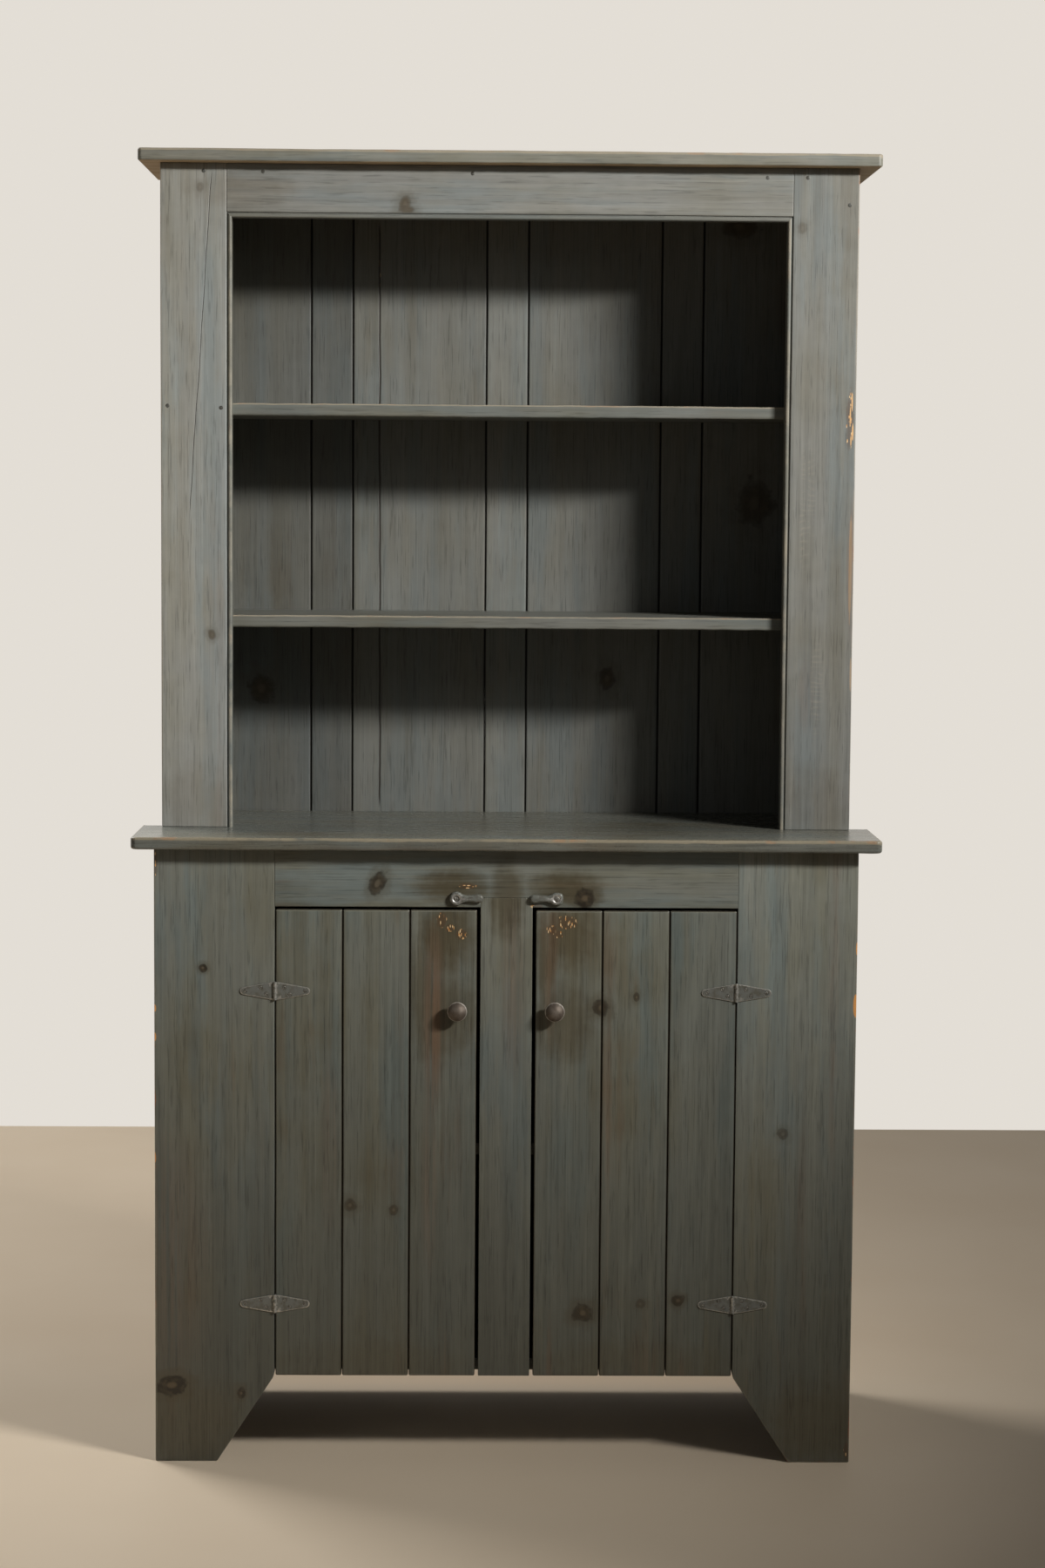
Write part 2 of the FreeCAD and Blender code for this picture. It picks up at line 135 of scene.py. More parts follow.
# How a paint looks where its own list says nothing else
plainPaint = {
    "front": 0, "blueShare": 0.6, "streaky": 0.5, "red": 0.25, "glazeFrom": 0.55, "uneven": 0.9, "rough": 0.42,
    "sheen": 0.5, "glazeTint": (0.079, 0.065, 0.037), "redTint": (0.135, 0.083, 0.05), "rubTint": (0.425, 0.178, 0.067),
    "bump": 0.7, "halo": 0.4, "knotRim": 0.6, "footShade": 0, "footShadeTint": (0.068, 0.067, 0.052), "raw": None,
    "grime": None, "rawShare": 1.0, "scrapePale": 0.5,
    **{mark: [] for mark in ("knots", "cracks", "stains", "chips", "scrapes", "redStreaks", "chatter")},
}
rawPine = {"pale": (0.56, 0.42, 0.25), "dark": (0.36, 0.22, 0.11)}
knotTint = {"halo": (0.075, 0.06, 0.034), "heart": (0.095, 0.07, 0.04), "rim": (0.018, 0.014, 0.009)}
chipTint = {"pale": (0.90, 0.66, 0.36), "orange": (0.72, 0.31, 0.08), "under": (0.10, 0.045, 0.018)}
crackTint = (0.03, 0.025, 0.02)
# waves in a metre of each noise, twice across the grain and once along it
waves = {"fibre": (520, 520, 6), "thread": (170, 170, 2.4), "streak": (32, 32, 1.1), "broad": (17, 17, 2.2),
         "red": (26, 26, 0.9), "pores": (430, 430, 20), "drift": (5, 5, 1.1), "flakes": (560, 560, 150)}
# how far each mark stands up or lies deep, in metres
relief = {"fibre": 0.00005, "thread": 0.00012, "rings": 0.00004, "mottle": 0.0001, "swell": 0.0011, "pores": 0.00008,
          "knots": 0.00015, "chips": 0.0003, "chatter": 0.00006, "cracks": 0.0006}


def layPaint(w, look):
    w.colour = w.mix(look["paint"], look["shade"], w.step(w.streak * 0.45 + w.cloud * 0.55, 0.36, 0.66))
    w.coat(look["blue"], w.step(w.grainOf(w.grain, waves["broad"], 4, 0.65), 0.45, 0.66) * look["blueShare"])
    brown = w.streak * 0.4 + w.cloud * 0.5 + w.thread * 0.1
    glaze = w.step(brown, look["glazeFrom"], look["glazeFrom"] + 0.2) * look["glaze"]
    for *shape, amount in look["stains"]:
        ragged = (w.thread - 0.5) * 1.2 + (w.mottle - 0.5) * 0.8
        glaze = glaze | w.blot(shape, ragged, 0.0, 1.3) * w.front * amount
    if look["footShade"]:  # painted shade: the paint is made darker towards the floor
        low = 1 - w.step(w.pz + (w.streak - 0.5) * 0.5 + (w.cloud - 0.5) * 0.4, 0.0, 0.95)
        w.coat(look["footShadeTint"], low * look["footShade"])
    w.coat(look["glazeTint"], glaze)
    red = w.step(w.grainOf(w.grain, waves["red"], 4, 0.6) * 0.7 + w.cloud * 0.3, 0.56, 0.7)
    w.coat(look["redTint"], red * look["red"])
    for *shape, amount in look["redStreaks"]:
        run = w.blot(shape, (w.thread - 0.5) * 2.2, 0.0, 1.2)
        w.coat(look["redTint"], run * w.step(w.thread, 0.3, 0.62) * w.front * amount)
    pores = w.step(w.grainOf(w.grain, waves["pores"], 2, 0.5), 0.56, 0.68)
    depth = (w.fibre - 0.5) * 0.46 + (w.thread - 0.5) * look["streaky"] + (w.mottle - 0.5) * 0.16 + w.rings * 0.06
    w.colour = w.strength(w.colour, (depth + 0.99 - pores * 0.24) * w.tone)
    w.height = (w.fibre * relief["fibre"] + w.thread * relief["thread"] + w.rings * relief["rings"]
                + w.mottle * relief["mottle"] + w.grainOf(w.place, 11, 2) * relief["swell"] - pores * relief["pores"])


def layKnots(w, look):
    uneven = (w.grainOf(w.place, 75, 2, 0.5) - 0.5) * 1.8 + (w.mottle - 0.5) * 1.2 + 1.0
    knots = []
    for x, z, wide, high, lean, strong in look["knots"]:
        away = w.spot(x, z, wide, high, lean) * uneven
        ring = w.step(away, 0.01, 0.16) * (1 - w.step(away, 0.7, 1.35))
        knots.append([mask * strong for mask in (1 - w.step(away, 0.3, 5.0), 1 - w.step(away, 0.2, 1.1), ring)])
    halo, heart, rim = (strongest(masks) for masks in zip(*knots))
    w.coat(knotTint["halo"], halo * look["halo"])
    w.coat(knotTint["heart"], heart * 0.8)
    rim = rim * (w.step(w.grainOf(w.place, 110, 2), 0.3, 0.6) * 0.4 + 0.6)
    w.coat(knotTint["rim"], rim * look["knotRim"])
    w.height = w.height - rim * relief["knots"]


def layRaw(w, look):  # wood that was never painted, past a level
    side, level, above = look["raw"]
    w.rawness = w.step({"y": w.py, "z": w.pz}[side], level * mm, (level + 0.4) * mm)
    if not above:
        w.rawness = 1 - w.rawness
    bare = w.mix(rawPine["pale"], rawPine["dark"], w.rings * 0.36 + w.fibre * 0.4)
    w.coat(w.strength(bare, w.tone), w.rawness * look["rawShare"])


def layWear(w, look):
    along = w.grainOf(w.place, 9, 3, 0.6)
    w.worn = w.step(w.arris + (along - 0.5) * look["uneven"] + (w.mottle - 0.5) * 0.25, 0.8, 0.97) * look["worn"]
    w.coat(look["wornTint"], w.worn)
    rub = w.step(w.arris + (w.grainOf(w.place, 21, 3, 0.6) - 0.5) * 1.9, 1.12, 1.3) * look["rubbed"]
    w.coat(look["rubTint"], rub)


def layChips(w, look):
    chipped = strongest([w.blot(shape, (w.mottle - 0.5) * 1.5, 0.3, 1.3) for shape in look["chips"]]) * w.front
    cells = w.node("VectorMath", {"operation": "MULTIPLY"}, {0: w.grain, 1: waves["flakes"]})
    cells = w.node("TexVoronoi", None, {"Vector": cells, "Scale": 1.0})
    chosen = w.node("SeparateColor", None, {0: cells.out("Color")})
    flake = (1 - w.step(cells, 0.34, 0.46)) * w.step(chosen, 0.62, 0.66)
    w.coat(chipTint["under"], chipped * 0.4)
    hue = w.mix(chipTint["orange"], chipTint["pale"], w.step(w.grainOf(w.place, 260, 1), 0.34, 0.6))
    w.coat(hue, w.step(chipped, 0.15, 0.6) * flake)
    w.height = w.height - chipped * flake * relief["chips"]


def layChatter(w, look):  # pale ripples that a blunt planer left across the grain
    for *shape, pitch in look["chatter"]:
        across = w.maths("SINE", w.pz * (2 * math.pi / (pitch * mm)) + w.grainOf(w.place, 24, 3) * 22)
        patch = w.blot(shape, (w.mottle - 0.5) * 1.6, 0.2, 1.2) * w.step(w.thread, 0.36, 0.6)
        ripple = w.step(across, 0.1, 0.9) * patch * w.front
        w.coat(look["wornTint"], ripple * w.step(w.mottle, 0.35, 0.6) * 0.4)
        w.height = w.height + ripple * relief["chatter"]


def layScrapes(w, look):
    for *shape, share in look["scrapes"]:
        ragged = (w.mottle - 0.5) * 1.4 + (w.thread - 0.5) * 0.8
        hue = w.mix(chipTint["orange"], chipTint["pale"], look["scrapePale"])
        w.coat(hue, w.blot(shape, ragged, 0.7, 1.1) * w.front * share)


def layCracks(w, look):
    for x0, z0, x1, z1, wide, depth in look["cracks"]:
        line = (w.pz - z0 * mm) * ((x1 - x0) / (z1 - z0)) + x0 * mm
        off = w.maths("ABSOLUTE", w.px - line + (w.grainOf(w.place, (0.1, 0.1, 9), 3) - 0.5) * 0.006)
        low, high = sorted((z0, z1))
        inside = w.step(w.pz, low * mm, (low + 25) * mm) * (1 - w.step(w.pz, (high - 25) * mm, high * mm))
        slit = (1 - w.step(off, wide * 0.4 * mm, wide * mm)) * inside
        w.coat(crackTint, slit * depth)
        w.height = w.height - slit * relief["cracks"] * depth


# Milk paint under a brown glaze, with the pine's grain, knots and wear
def paintedPine(name, look):
    look = {**plainPaint, **look}
    w = Finish(bpy.data.materials.new(name))
    w.place = w.node("TexCoord", output="Object")
    split = w.node("SeparateXYZ", None, {0: w.place})
    w.px, w.py, w.pz = split.out("X"), split.out("Y"), split.out("Z")
    w.grain, w.arris, w.tone = w.attribute("grain", "Vector"), w.attribute("arris"), w.attribute("tone")
    w.fibre = w.grainOf(w.grain, waves["fibre"], 3, 0.6)
    w.thread = w.grainOf(w.grain, waves["thread"], 4, 0.6)
    w.streak = w.grainOf(w.grain, waves["streak"], 4, 0.6)
    w.cloud = w.grainOf(w.place, look["cloudSize"], 4, 0.55)
    w.mottle = w.grainOf(w.place, 48, 4, 0.6)
    w.front = 1 - w.step(w.py, (look["front"] + 4) * mm, (look["front"] + 7) * mm)  # stains and chips lie on the face
    # rings of the log, cut lengthwise into long arches
    parts = w.node("SeparateXYZ", None, {0: w.grain})
    drift = w.grainOf(w.grain, waves["drift"], 2, 0.4)
    w.rings = w.step(w.maths("SINE", parts.out("X") * 150 + drift * 50), -0.6, 1.0)

    layPaint(w, look)
    if look["knots"]:
        layKnots(w, look)
    w.rawness = None
    if look["raw"]:
        layRaw(w, look)
    layWear(w, look)
    if look["chips"]:
        layChips(w, look)
    layChatter(w, look)
    layScrapes(w, look)
    if look["grime"]:
        w.coat(look["grime"], w.step(w.attribute("grime"), 0.1, 0.8) * 0.85)
    layCracks(w, look)

    gloss = look["rough"] + (w.mottle - 0.5) * 0.16 + (w.fibre - 0.5) * 0.14 + w.worn * 0.12
    if w.rawness:
        gloss = gloss + w.rawness * 0.3
    sockets = {"Base Color": w.colour, "Roughness": gloss, "Specular IOR Level": look["sheen"]}
    return w.surface(sockets, w.height, look["bump"])


# Places in millimetres, seen from the front. Knots: x, z, half width, half height, lean, strength. Stains, red streaks
# and scrapes: x, z, half width, half height, amount. Chips: the first four. Cracks: x, z to x, z, width, depth.
# Chatter: x, z, half width, half height, pitch. Raw: the axis, the level and whether the bare wood lies above it.
paints = {
    "upper": {
        "paint": (0.223, 0.225, 0.21), "shade": (0.2, 0.194, 0.163), "blue": (0.183, 0.212, 0.216),
        "glazeTint": (0.13, 0.103, 0.0672), "redTint": (0.174, 0.133, 0.106), "wornTint": (0.326, 0.296, 0.242),
        "rubTint": (0.357, 0.148, 0.06),
        "front": -58.5, "glaze": 0.4, "cloudSize": 5.5, "worn": 0.75, "rubbed": 0.5, "knotRim": 0.25,
        "knots": [(-153, 1830, 9, 13, 0, 0.9), (-150, 1822, 13, 6, 0, 0.9), (-434, 1203, 6, 9, 0, 0.8),
                  (425, 1800, 7, 9, 0, 0.45), (-450, 1852, 5, 8, 0, 0.4)],
        "stains": [(-395, 1850, 90, 30, 0.3), (455, 960, 60, 60, 0.3), (-460, 960, 60, 60, 0.25)],
        "redStreaks": [(505, 1310, 9, 120, 1.0), (440, 1120, 14, 60, 0.4)],
        "chips": [(499, 1522, 6, 46)],
        "scrapes": [(502, 1550, 1.1, 14, 1), (499.6, 1528, 0.9, 17, 1), (503.4, 1506, 1.3, 13, 1),
                    (501, 1494, 0.9, 9, 1), (503, 1310, 2.4, 84, 0.25), (506, 1150, 1.2, 24, 0.3)],
        "cracks": [(-433, 1882, -467, 1372, 0.9, 0.7)],
        "chatter": [(437, 1400, 15, 110, 9), (455, 1130, 12, 80, 8)],
    },
    "bay": {
        "paint": (0.176, 0.179, 0.163), "shade": (0.155, 0.15, 0.124), "blue": (0.141, 0.163, 0.163),
        "glazeTint": (0.0948, 0.0762, 0.0473), "redTint": (0.129, 0.0998, 0.0725), "wornTint": (0.269, 0.253, 0.204),
        "rubTint": (0.34, 0.148, 0.067), "grime": (0.02, 0.017, 0.012),
        "front": 194.5, "streaky": 0.32, "glaze": 0.45, "glazeFrom": 0.54, "cloudSize": 5, "worn": 0.3, "rubbed": 0.0,
        "rough": 0.5, "sheen": 0.4, "raw": ('y', 208.9, True), "rawShare": 0.95, "halo": 0.3, "scrapePale": 0.9,
        "knots": [(158, 1128, 13, 18, 0, 1), (383, 1400, 27, 34, 0, 0.8), (354, 1822, 28, 17, 0, 0.8),
                  (-378, 1110, 20, 20, 0, 0.9), (-120, 520, 11, 8, 10, 1), (260, 330, 9, 12, 0, 1)],
        "scrapes": [(-197.5, 1763, 1.0, 7, 1), (-196, 1745, 0.9, 4, 1), (-196.5, 1730, 0.8, 3, 1)],
        "cracks": [(-197, 1832, -194, 921, 2.0, 0.95)],
    },
    "shelf": {
        "paint": (0.176, 0.178, 0.16), "shade": (0.145, 0.14, 0.109), "blue": (0.14, 0.162, 0.158),
        "glazeTint": (0.0831, 0.0655, 0.0401), "redTint": (0.12, 0.09, 0.0657), "wornTint": (0.292, 0.261, 0.199),
       
        "glaze": 0.45, "cloudSize": 6, "worn": 0.95, "uneven": 0.45, "rubbed": 0.2,
    },
    "top": {
        "paint": (0.218, 0.21, 0.178), "shade": (0.177, 0.171, 0.132), "blue": (0.168, 0.191, 0.187),
        "glazeTint": (0.109, 0.0852, 0.0516), "redTint": (0.153, 0.11, 0.0802), "wornTint": (0.333, 0.289, 0.215),
       
        "red": 0.3, "glaze": 0.55, "glazeFrom": 0.54, "cloudSize": 8, "worn": 0.9, "uneven": 0.5, "rubbed": 0.25,
        "rough": 0.46, "raw": ('z', 1887.3, False), "rawShare": 0.85,
    },
    "counter": {
        "paint": (0.168, 0.171, 0.148), "shade": (0.133, 0.127, 0.0963), "blue": (0.131, 0.149, 0.143),
        "glazeTint": (0.0788, 0.0599, 0.0343), "redTint": (0.124, 0.083, 0.0579), "wornTint": (0.29, 0.25, 0.175),
        "rubTint": (0.468, 0.192, 0.067),
        "red": 0.3, "glaze": 0.55, "glazeFrom": 0.53, "cloudSize": 6, "worn": 0.85, "rubbed": 0.3, "rough": 0.28,
        "sheen": 0.65, "bump": 0.18,
    },
    "lower": {
        "paint": (0.195, 0.204, 0.18), "shade": (0.162, 0.16, 0.122), "blue": (0.152, 0.181, 0.175),
        "wornTint": (0.213, 0.199, 0.148),
        "rubTint": (0.357, 0.126, 0.043),
        "front": -180.5, "footShade": 0.9, "red": 0.45, "glaze": 0.7, "glazeFrom": 0.53, "cloudSize": 4.6,
        "streaky": 0.6, "blueShare": 0.85, "worn": 0.5, "uneven": 1.0, "rubbed": 0.6, "rough": 0.4, "knotRim": 0.85,
        "halo": 0.5, "scrapePale": 0.1,
        "knots": [(-438, 728, 7, 6, 0, 1), (-187, 851, 10, 17, -25, 0.9), (113, 832, 14, 14, 0, 1.1),
                  (-484, 113, 22, 14, 0, 1.1), (-383, 101, 6, 8, 0, 1), (404, 488, 7, 9, 0, 0.5)],
        "stains": [(-78, 846, 62, 34, 0.95), (84, 846, 60, 32, 0.95), (0, 828, 30, 70, 0.8), (-455, 60, 90, 70, 0.6),
                   (455, 60, 90, 70, 0.6), (118, 836, 26, 18, 0.7)],
        "redStreaks": [(-480, 300, 60, 220, 0.4), (10, 700, 20, 160, 0.4)],
        "chips": [(-56, 849, 13, 5), (44, 820, 10, 4), (505, 18, 5, 16), (-506, 881, 4, 22)],
        "scrapes": [(507, 677, 4, 18, 1), (-508, 669, 3, 6, 1), (-508, 627, 3, 7, 1), (-508, 450, 2, 9, 1),
                    (508, 760, 2, 10, 1)],
    },
    "door": {
        "paint": (0.161, 0.171, 0.15), "shade": (0.132, 0.128, 0.0931), "blue": (0.124, 0.151, 0.143),
        "wornTint": (0.189, 0.187, 0.144),
        "rubTint": (0.383, 0.148, 0.053), "grime": (0.035, 0.027, 0.016),
        "front": -180.5, "footShade": 0.75, "red": 0.5, "glaze": 0.8, "glazeFrom": 0.52, "cloudSize": 4.4,
        "streaky": 0.75, "blueShare": 0.85, "worn": 0.7, "uneven": 0.7, "rubbed": 0.15, "rough": 0.4, "halo": 0.5,
        "knotRim": 0.7,
        "knots": [(-225, 381, 9, 10, 0, 0.8), (-161, 374, 7, 8, 0, 0.7), (138, 673, 11, 13, 0, 1.0),
                  (189, 688, 5, 8, 0, 0.8), (115, 222, 16, 12, 20, 1), (254, 241, 9, 8, 0, 1),
                  (199, 236, 7, 7, 0, 0.5)],
        "stains": [(-88, 775, 48, 66, 0.95), (88, 778, 48, 60, 0.95), (-84, 660, 46, 70, 0.7), (84, 650, 46, 70, 0.7),
                   (58, 740, 14, 90, 0.8), (-122, 700, 20, 120, 0.7), (-190, 140, 150, 50, 0.45),
                   (190, 140, 150, 50, 0.45)],
        "redStreaks": [(-104, 660, 18, 150, 1.0), (-110, 420, 14, 160, 0.4), (64, 700, 10, 90, 0.4),
                       (-255, 480, 14, 160, 0.3)],
        "chips": [(-93, 799, 8, 12), (-82, 788, 7, 6), (-65, 779, 8, 8), (65, 786, 8, 7), (88, 797, 15, 11),
                  (76, 779, 6, 6)],
    },
}
pine = {key: paintedPine(key + "Paint", look) for key, look in paints.items()}
print("paints made")


def hardware(name, look):
    f = Finish(bpy.data.materials.new(name))
    place = f.node("TexCoord", output="Object")
    arris = f.attribute("arris")
    mottle = f.grainOf(place, look["mottleSize"], 4, 0.6)
    fine = f.grainOf(place, 900, 3, 0.6)
    colour = f.mix(look["base"], look["patch"], f.step(mottle, 0.4, 0.66))
    colour = f.strength(colour, (fine - 0.5) * 0.3 + 1.0)
    bare = f.step(arris * 1.1 + (f.grainOf(place, 300, 3, 0.6) - 0.5) * 1.3, 0.6, 1.1) * look["bare"]
    colour = f.mix(colour, look["metal"], bare)
    # painted shade: near black where the arris value is below zero, in a hinge leaf's screw holes
    colour = f.mix(colour, (0.03, 0.027, 0.02), f.step(arris * -1, 0.2, 0.8) * 0.9)
    metallic = bare * (1.0 - look["metallic"]) + look["metallic"]
    gloss = look["rough"] + (mottle - 0.5) * 0.25 + (fine - 0.5) * 0.1
    return f.surface({"Base Color": colour, "Metallic": metallic, "Roughness": gloss},
                     mottle * 0.00006 + fine * 0.00002, 0.8)


metals = {
    "paintedHinge": {"base": (0.155, 0.158, 0.143), "patch": (0.115, 0.11, 0.088), "metal": (0.62, 0.60, 0.55),
                     "metallic": 0.1, "bare": 0.95, "rough": 0.4, "mottleSize": 120},
    "bronzedKnob": {"base": (0.125, 0.098, 0.078), "patch": (0.19, 0.16, 0.132), "metal": (0.76, 0.71, 0.65),
                    "metallic": 0.6, "bare": 0.85, "rough": 0.6, "mottleSize": 95},
    "wornButton": {"base": (0.165, 0.172, 0.152), "patch": (0.115, 0.11, 0.092), "metal": (0.66, 0.64, 0.61),
                   "metallic": 0.15, "bare": 0.9, "rough": 0.42, "mottleSize": 160},
    "paintedNail": {"base": (0.12, 0.122, 0.112), "patch": (0.06, 0.056, 0.045), "metal": (0.40, 0.39, 0.36),
                    "metallic": 0.2, "bare": 0.5, "rough": 0.4, "mottleSize": 300},
    "dullScrew": {"base": (0.24, 0.232, 0.205), "patch": (0.12, 0.112, 0.092), "metal": (0.52, 0.51, 0.48),
                  "metallic": 0.6, "bare": 0.8, "rough": 0.42, "mottleSize": 400},
}
metal = {key: hardware(key, look) for key, look in metals.items()}
print("metals made")

hands = {"left": -1, "right": 1}
axes = {"xz": (0, 2, 1), "xy": (0, 1, 2), "yz": (1, 2, 0)}


def point(plane, a, b, c):
    made = Vector((0, 0, 0))
    for axis, value in zip(axes[plane], (a, b, c)):
        made[axis] = value * mm
    return made


def linked(name, data):
    made = bpy.data.objects.new(name, data)
    bpy.context.scene.collection.objects.link(made)
    return made


def meshed(name, bm, material):
    mesh = bpy.data.meshes.new(name)
    bm.to_mesh(mesh)
    bm.free()
    mesh.materials.append(material)
    return linked(name, mesh)


def finished(name, bm, material, body, nodes=(), even=True):
    piece = meshed(name, bm, material)
    piece.data.shade_smooth()
    if even:
        piece.modifiers.new("evenShading", "WEIGHTED_NORMAL").keep_sharp = True
    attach(piece, body)
    if nodes:
        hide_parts(*nodes)
    return piece


def title(node):  # lower_stile_left becomes lowerStileLeft
    first, *rest = node.split("_")
    return first + "".join(word.capitalize() for word in rest)


def offSegment(p, a, b):
    along = b - a
    share = max(0.0, min(1.0, (p - a).dot(along) / along.length_squared))
    return (p - a - along * share).length


def markWood(bm, seed, plane, grain, wornAt):
    # the grain's own coordinates, how near a vertex is to a worn arris, and the board's tone
    chance = random.Random(seed)
    shift = Vector([chance.uniform(0, 40) for _ in range(3)])
    tone = toneOf.get(seed, chance.uniform(0.94, 1.06))
    grainLayer = bm.verts.layers.float_vector.new("grain")
    arrisLayer, toneLayer = (bm.verts.layers.float.new(name) for name in ("arris", "tone"))
    run = "xyz".index(grain)
    thick = axes[plane][2]
    side = 3 - run - thick if run != thick else (run + 1) % 3
    for vert in bm.verts:
        vert[grainLayer] = Vector((vert.co[side], vert.co[3 - run - side], vert.co[run])) + shift
        vert[arrisLayer] = wornAt(vert.co)
        vert[toneLayer] = tone


# Boards that took the glaze darker or paler than their neighbours. The laps behind the back boards' joints are toned
# almost black, painted shade in the narrow slits between the boards
toneOf = {
    "back_board_1": 0.68, "back_board_2": 0.66, "back_board_3": 0.97, "back_board_4": 1.12, "back_board_5": 0.98,
    "mullion": 1.04, "upper_stile_left": 1.3, "upper_rail": 1.02, "top_board": 1.05, "lower_stile_left": 1.0,
    "lower_stile_right": 1.22, "lower_rail": 1.0, "door_right_board_1": 1.1, "door_right_board_2": 1.16,
    "door_right_board_3": 1.12, **{f"back_lap_{i}": 0.2 for i in range(1, 7)},
}
sharpAngle = 0.6  # radians, above it an edge is an arris


def boarded(node, bm, finish):
    body = "_".join(node.split("_")[:2]) if node.startswith("door") else "case"  # door_left or door_right
    finished(title(node), bm, pine[finish], body, [node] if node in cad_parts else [])


def everything(bm):
    return bm.verts[:] + bm.edges[:] + bm.faces[:]


def sharpEdges(bm):
    return [e for e in bm.edges if e.calc_face_angle(0) > sharpAngle]


def faceOut(bm):
    ops.recalc_face_normals(bm, faces=bm.faces[:])


def raised(bm, faces):  # the vertices of the extruded copy
    made = ops.extrude_face_region(bm, geom=faces)["geom"]
    return [g for g in made if isinstance(g, bmesh.types.BMVert)]


def roundOff(bm, geom, radius, segments=2, affect="EDGES"):
    ops.bevel(bm, geom=geom, affect=affect, offset=radius * mm, segments=segments, profile=0.5, material=-1)


def warp(bm):  # no board is quite straight
    for vert in bm.verts:
        vert.co += noise.noise_vector(vert.co * 6) * 0.35 * mm


# Cuts along the worn rims, so that the wear has vertices to lie on, and across the board
def cutBoard(bm, node, plane, sides, start, end, grain, rim, spacing, paintedFrontLight):
    def cut(at, normal):
        ops.bisect_plane(bm, geom=everything(bm), dist=1e-6, plane_co=at, plane_no=normal)

    turn = sum(u0 * v1 - u1 * v0 for (u0, v0), (u1, v1), _ in sides)
    for (u0, v0), (u1, v1), worn in sides:
        if worn:
            inward = Vector((v0 - v1, u1 - u0)).normalized() * (1 if turn > 0 else -1)
            at = Vector((u0, v0)) + inward * rim
            cut(point(plane, at.x, at.y, start), point(plane, inward.x, inward.y, 0).normalized())
    shallow = min(rim, abs(end - start) / 3)
    for level in (min(start, end) + shallow, max(start, end) - shallow):
        cut(point(plane, 0, 0, level), point(plane, 0, 0, 1000))
    run = "xyz".index(grain)
    lowest, highest = min(v.co[run] for v in bm.verts), max(v.co[run] for v in bm.verts)
    chance = random.Random("cuts" + node)
    at = lowest + spacing * mm * 0.7
    while at < highest - spacing * mm * 0.4:
        way = Vector((0, 0, 0))
        way[run] = 1
        cut(way * at, way)
        at += spacing * mm * chance.uniform(0.8, 1.2)
    if paintedFrontLight:
        cut(Vector((0, paintedFrontLight["from"] * mm, 0)), Vector((0, 1, 0)))


# The upright arrises come first and the flat ones after them, so that no round grows past the outline
def softenFlat(bm, axis, rounds, upright=1.5):
    def flat(level):  # the arrises that lie at a level
        return [e for e in sharpEdges(bm) if all(abs(v.co[axis] - level * mm) < 1e-6 for v in e.verts)]

    lying = {e for level in rounds for e in flat(level)}
    roundOff(bm, [e for e in sharpEdges(bm) if e not in lying], upright)
    for level, radius in rounds.items():
        roundOff(bm, flat(level), radius, 4)


# The front edge swells and sinks a little
def waver(bm, wave):
    for vert in bm.verts:
        if vert.co.y < (wave["front"] + wave["reach"]) * mm:
            near = 1 - max(0, vert.co.y / mm - wave["front"]) / wave["reach"]
            slow = noise.noise(Vector((vert.co.x * wave["pace"], vert.co.z * 60, wave["seed"])))
            quick = noise.noise(Vector((vert.co.x * wave["pace"] * 3, vert.co.z * 160, wave["seed"] + 5)))
            vert.co.y += (slow * 0.9 + quick * 0.5) * wave["amount"] * near * mm
            vert.co.z += (quick * 0.7 + slow * 0.4) * wave["amount"] * near * 0.8 * mm


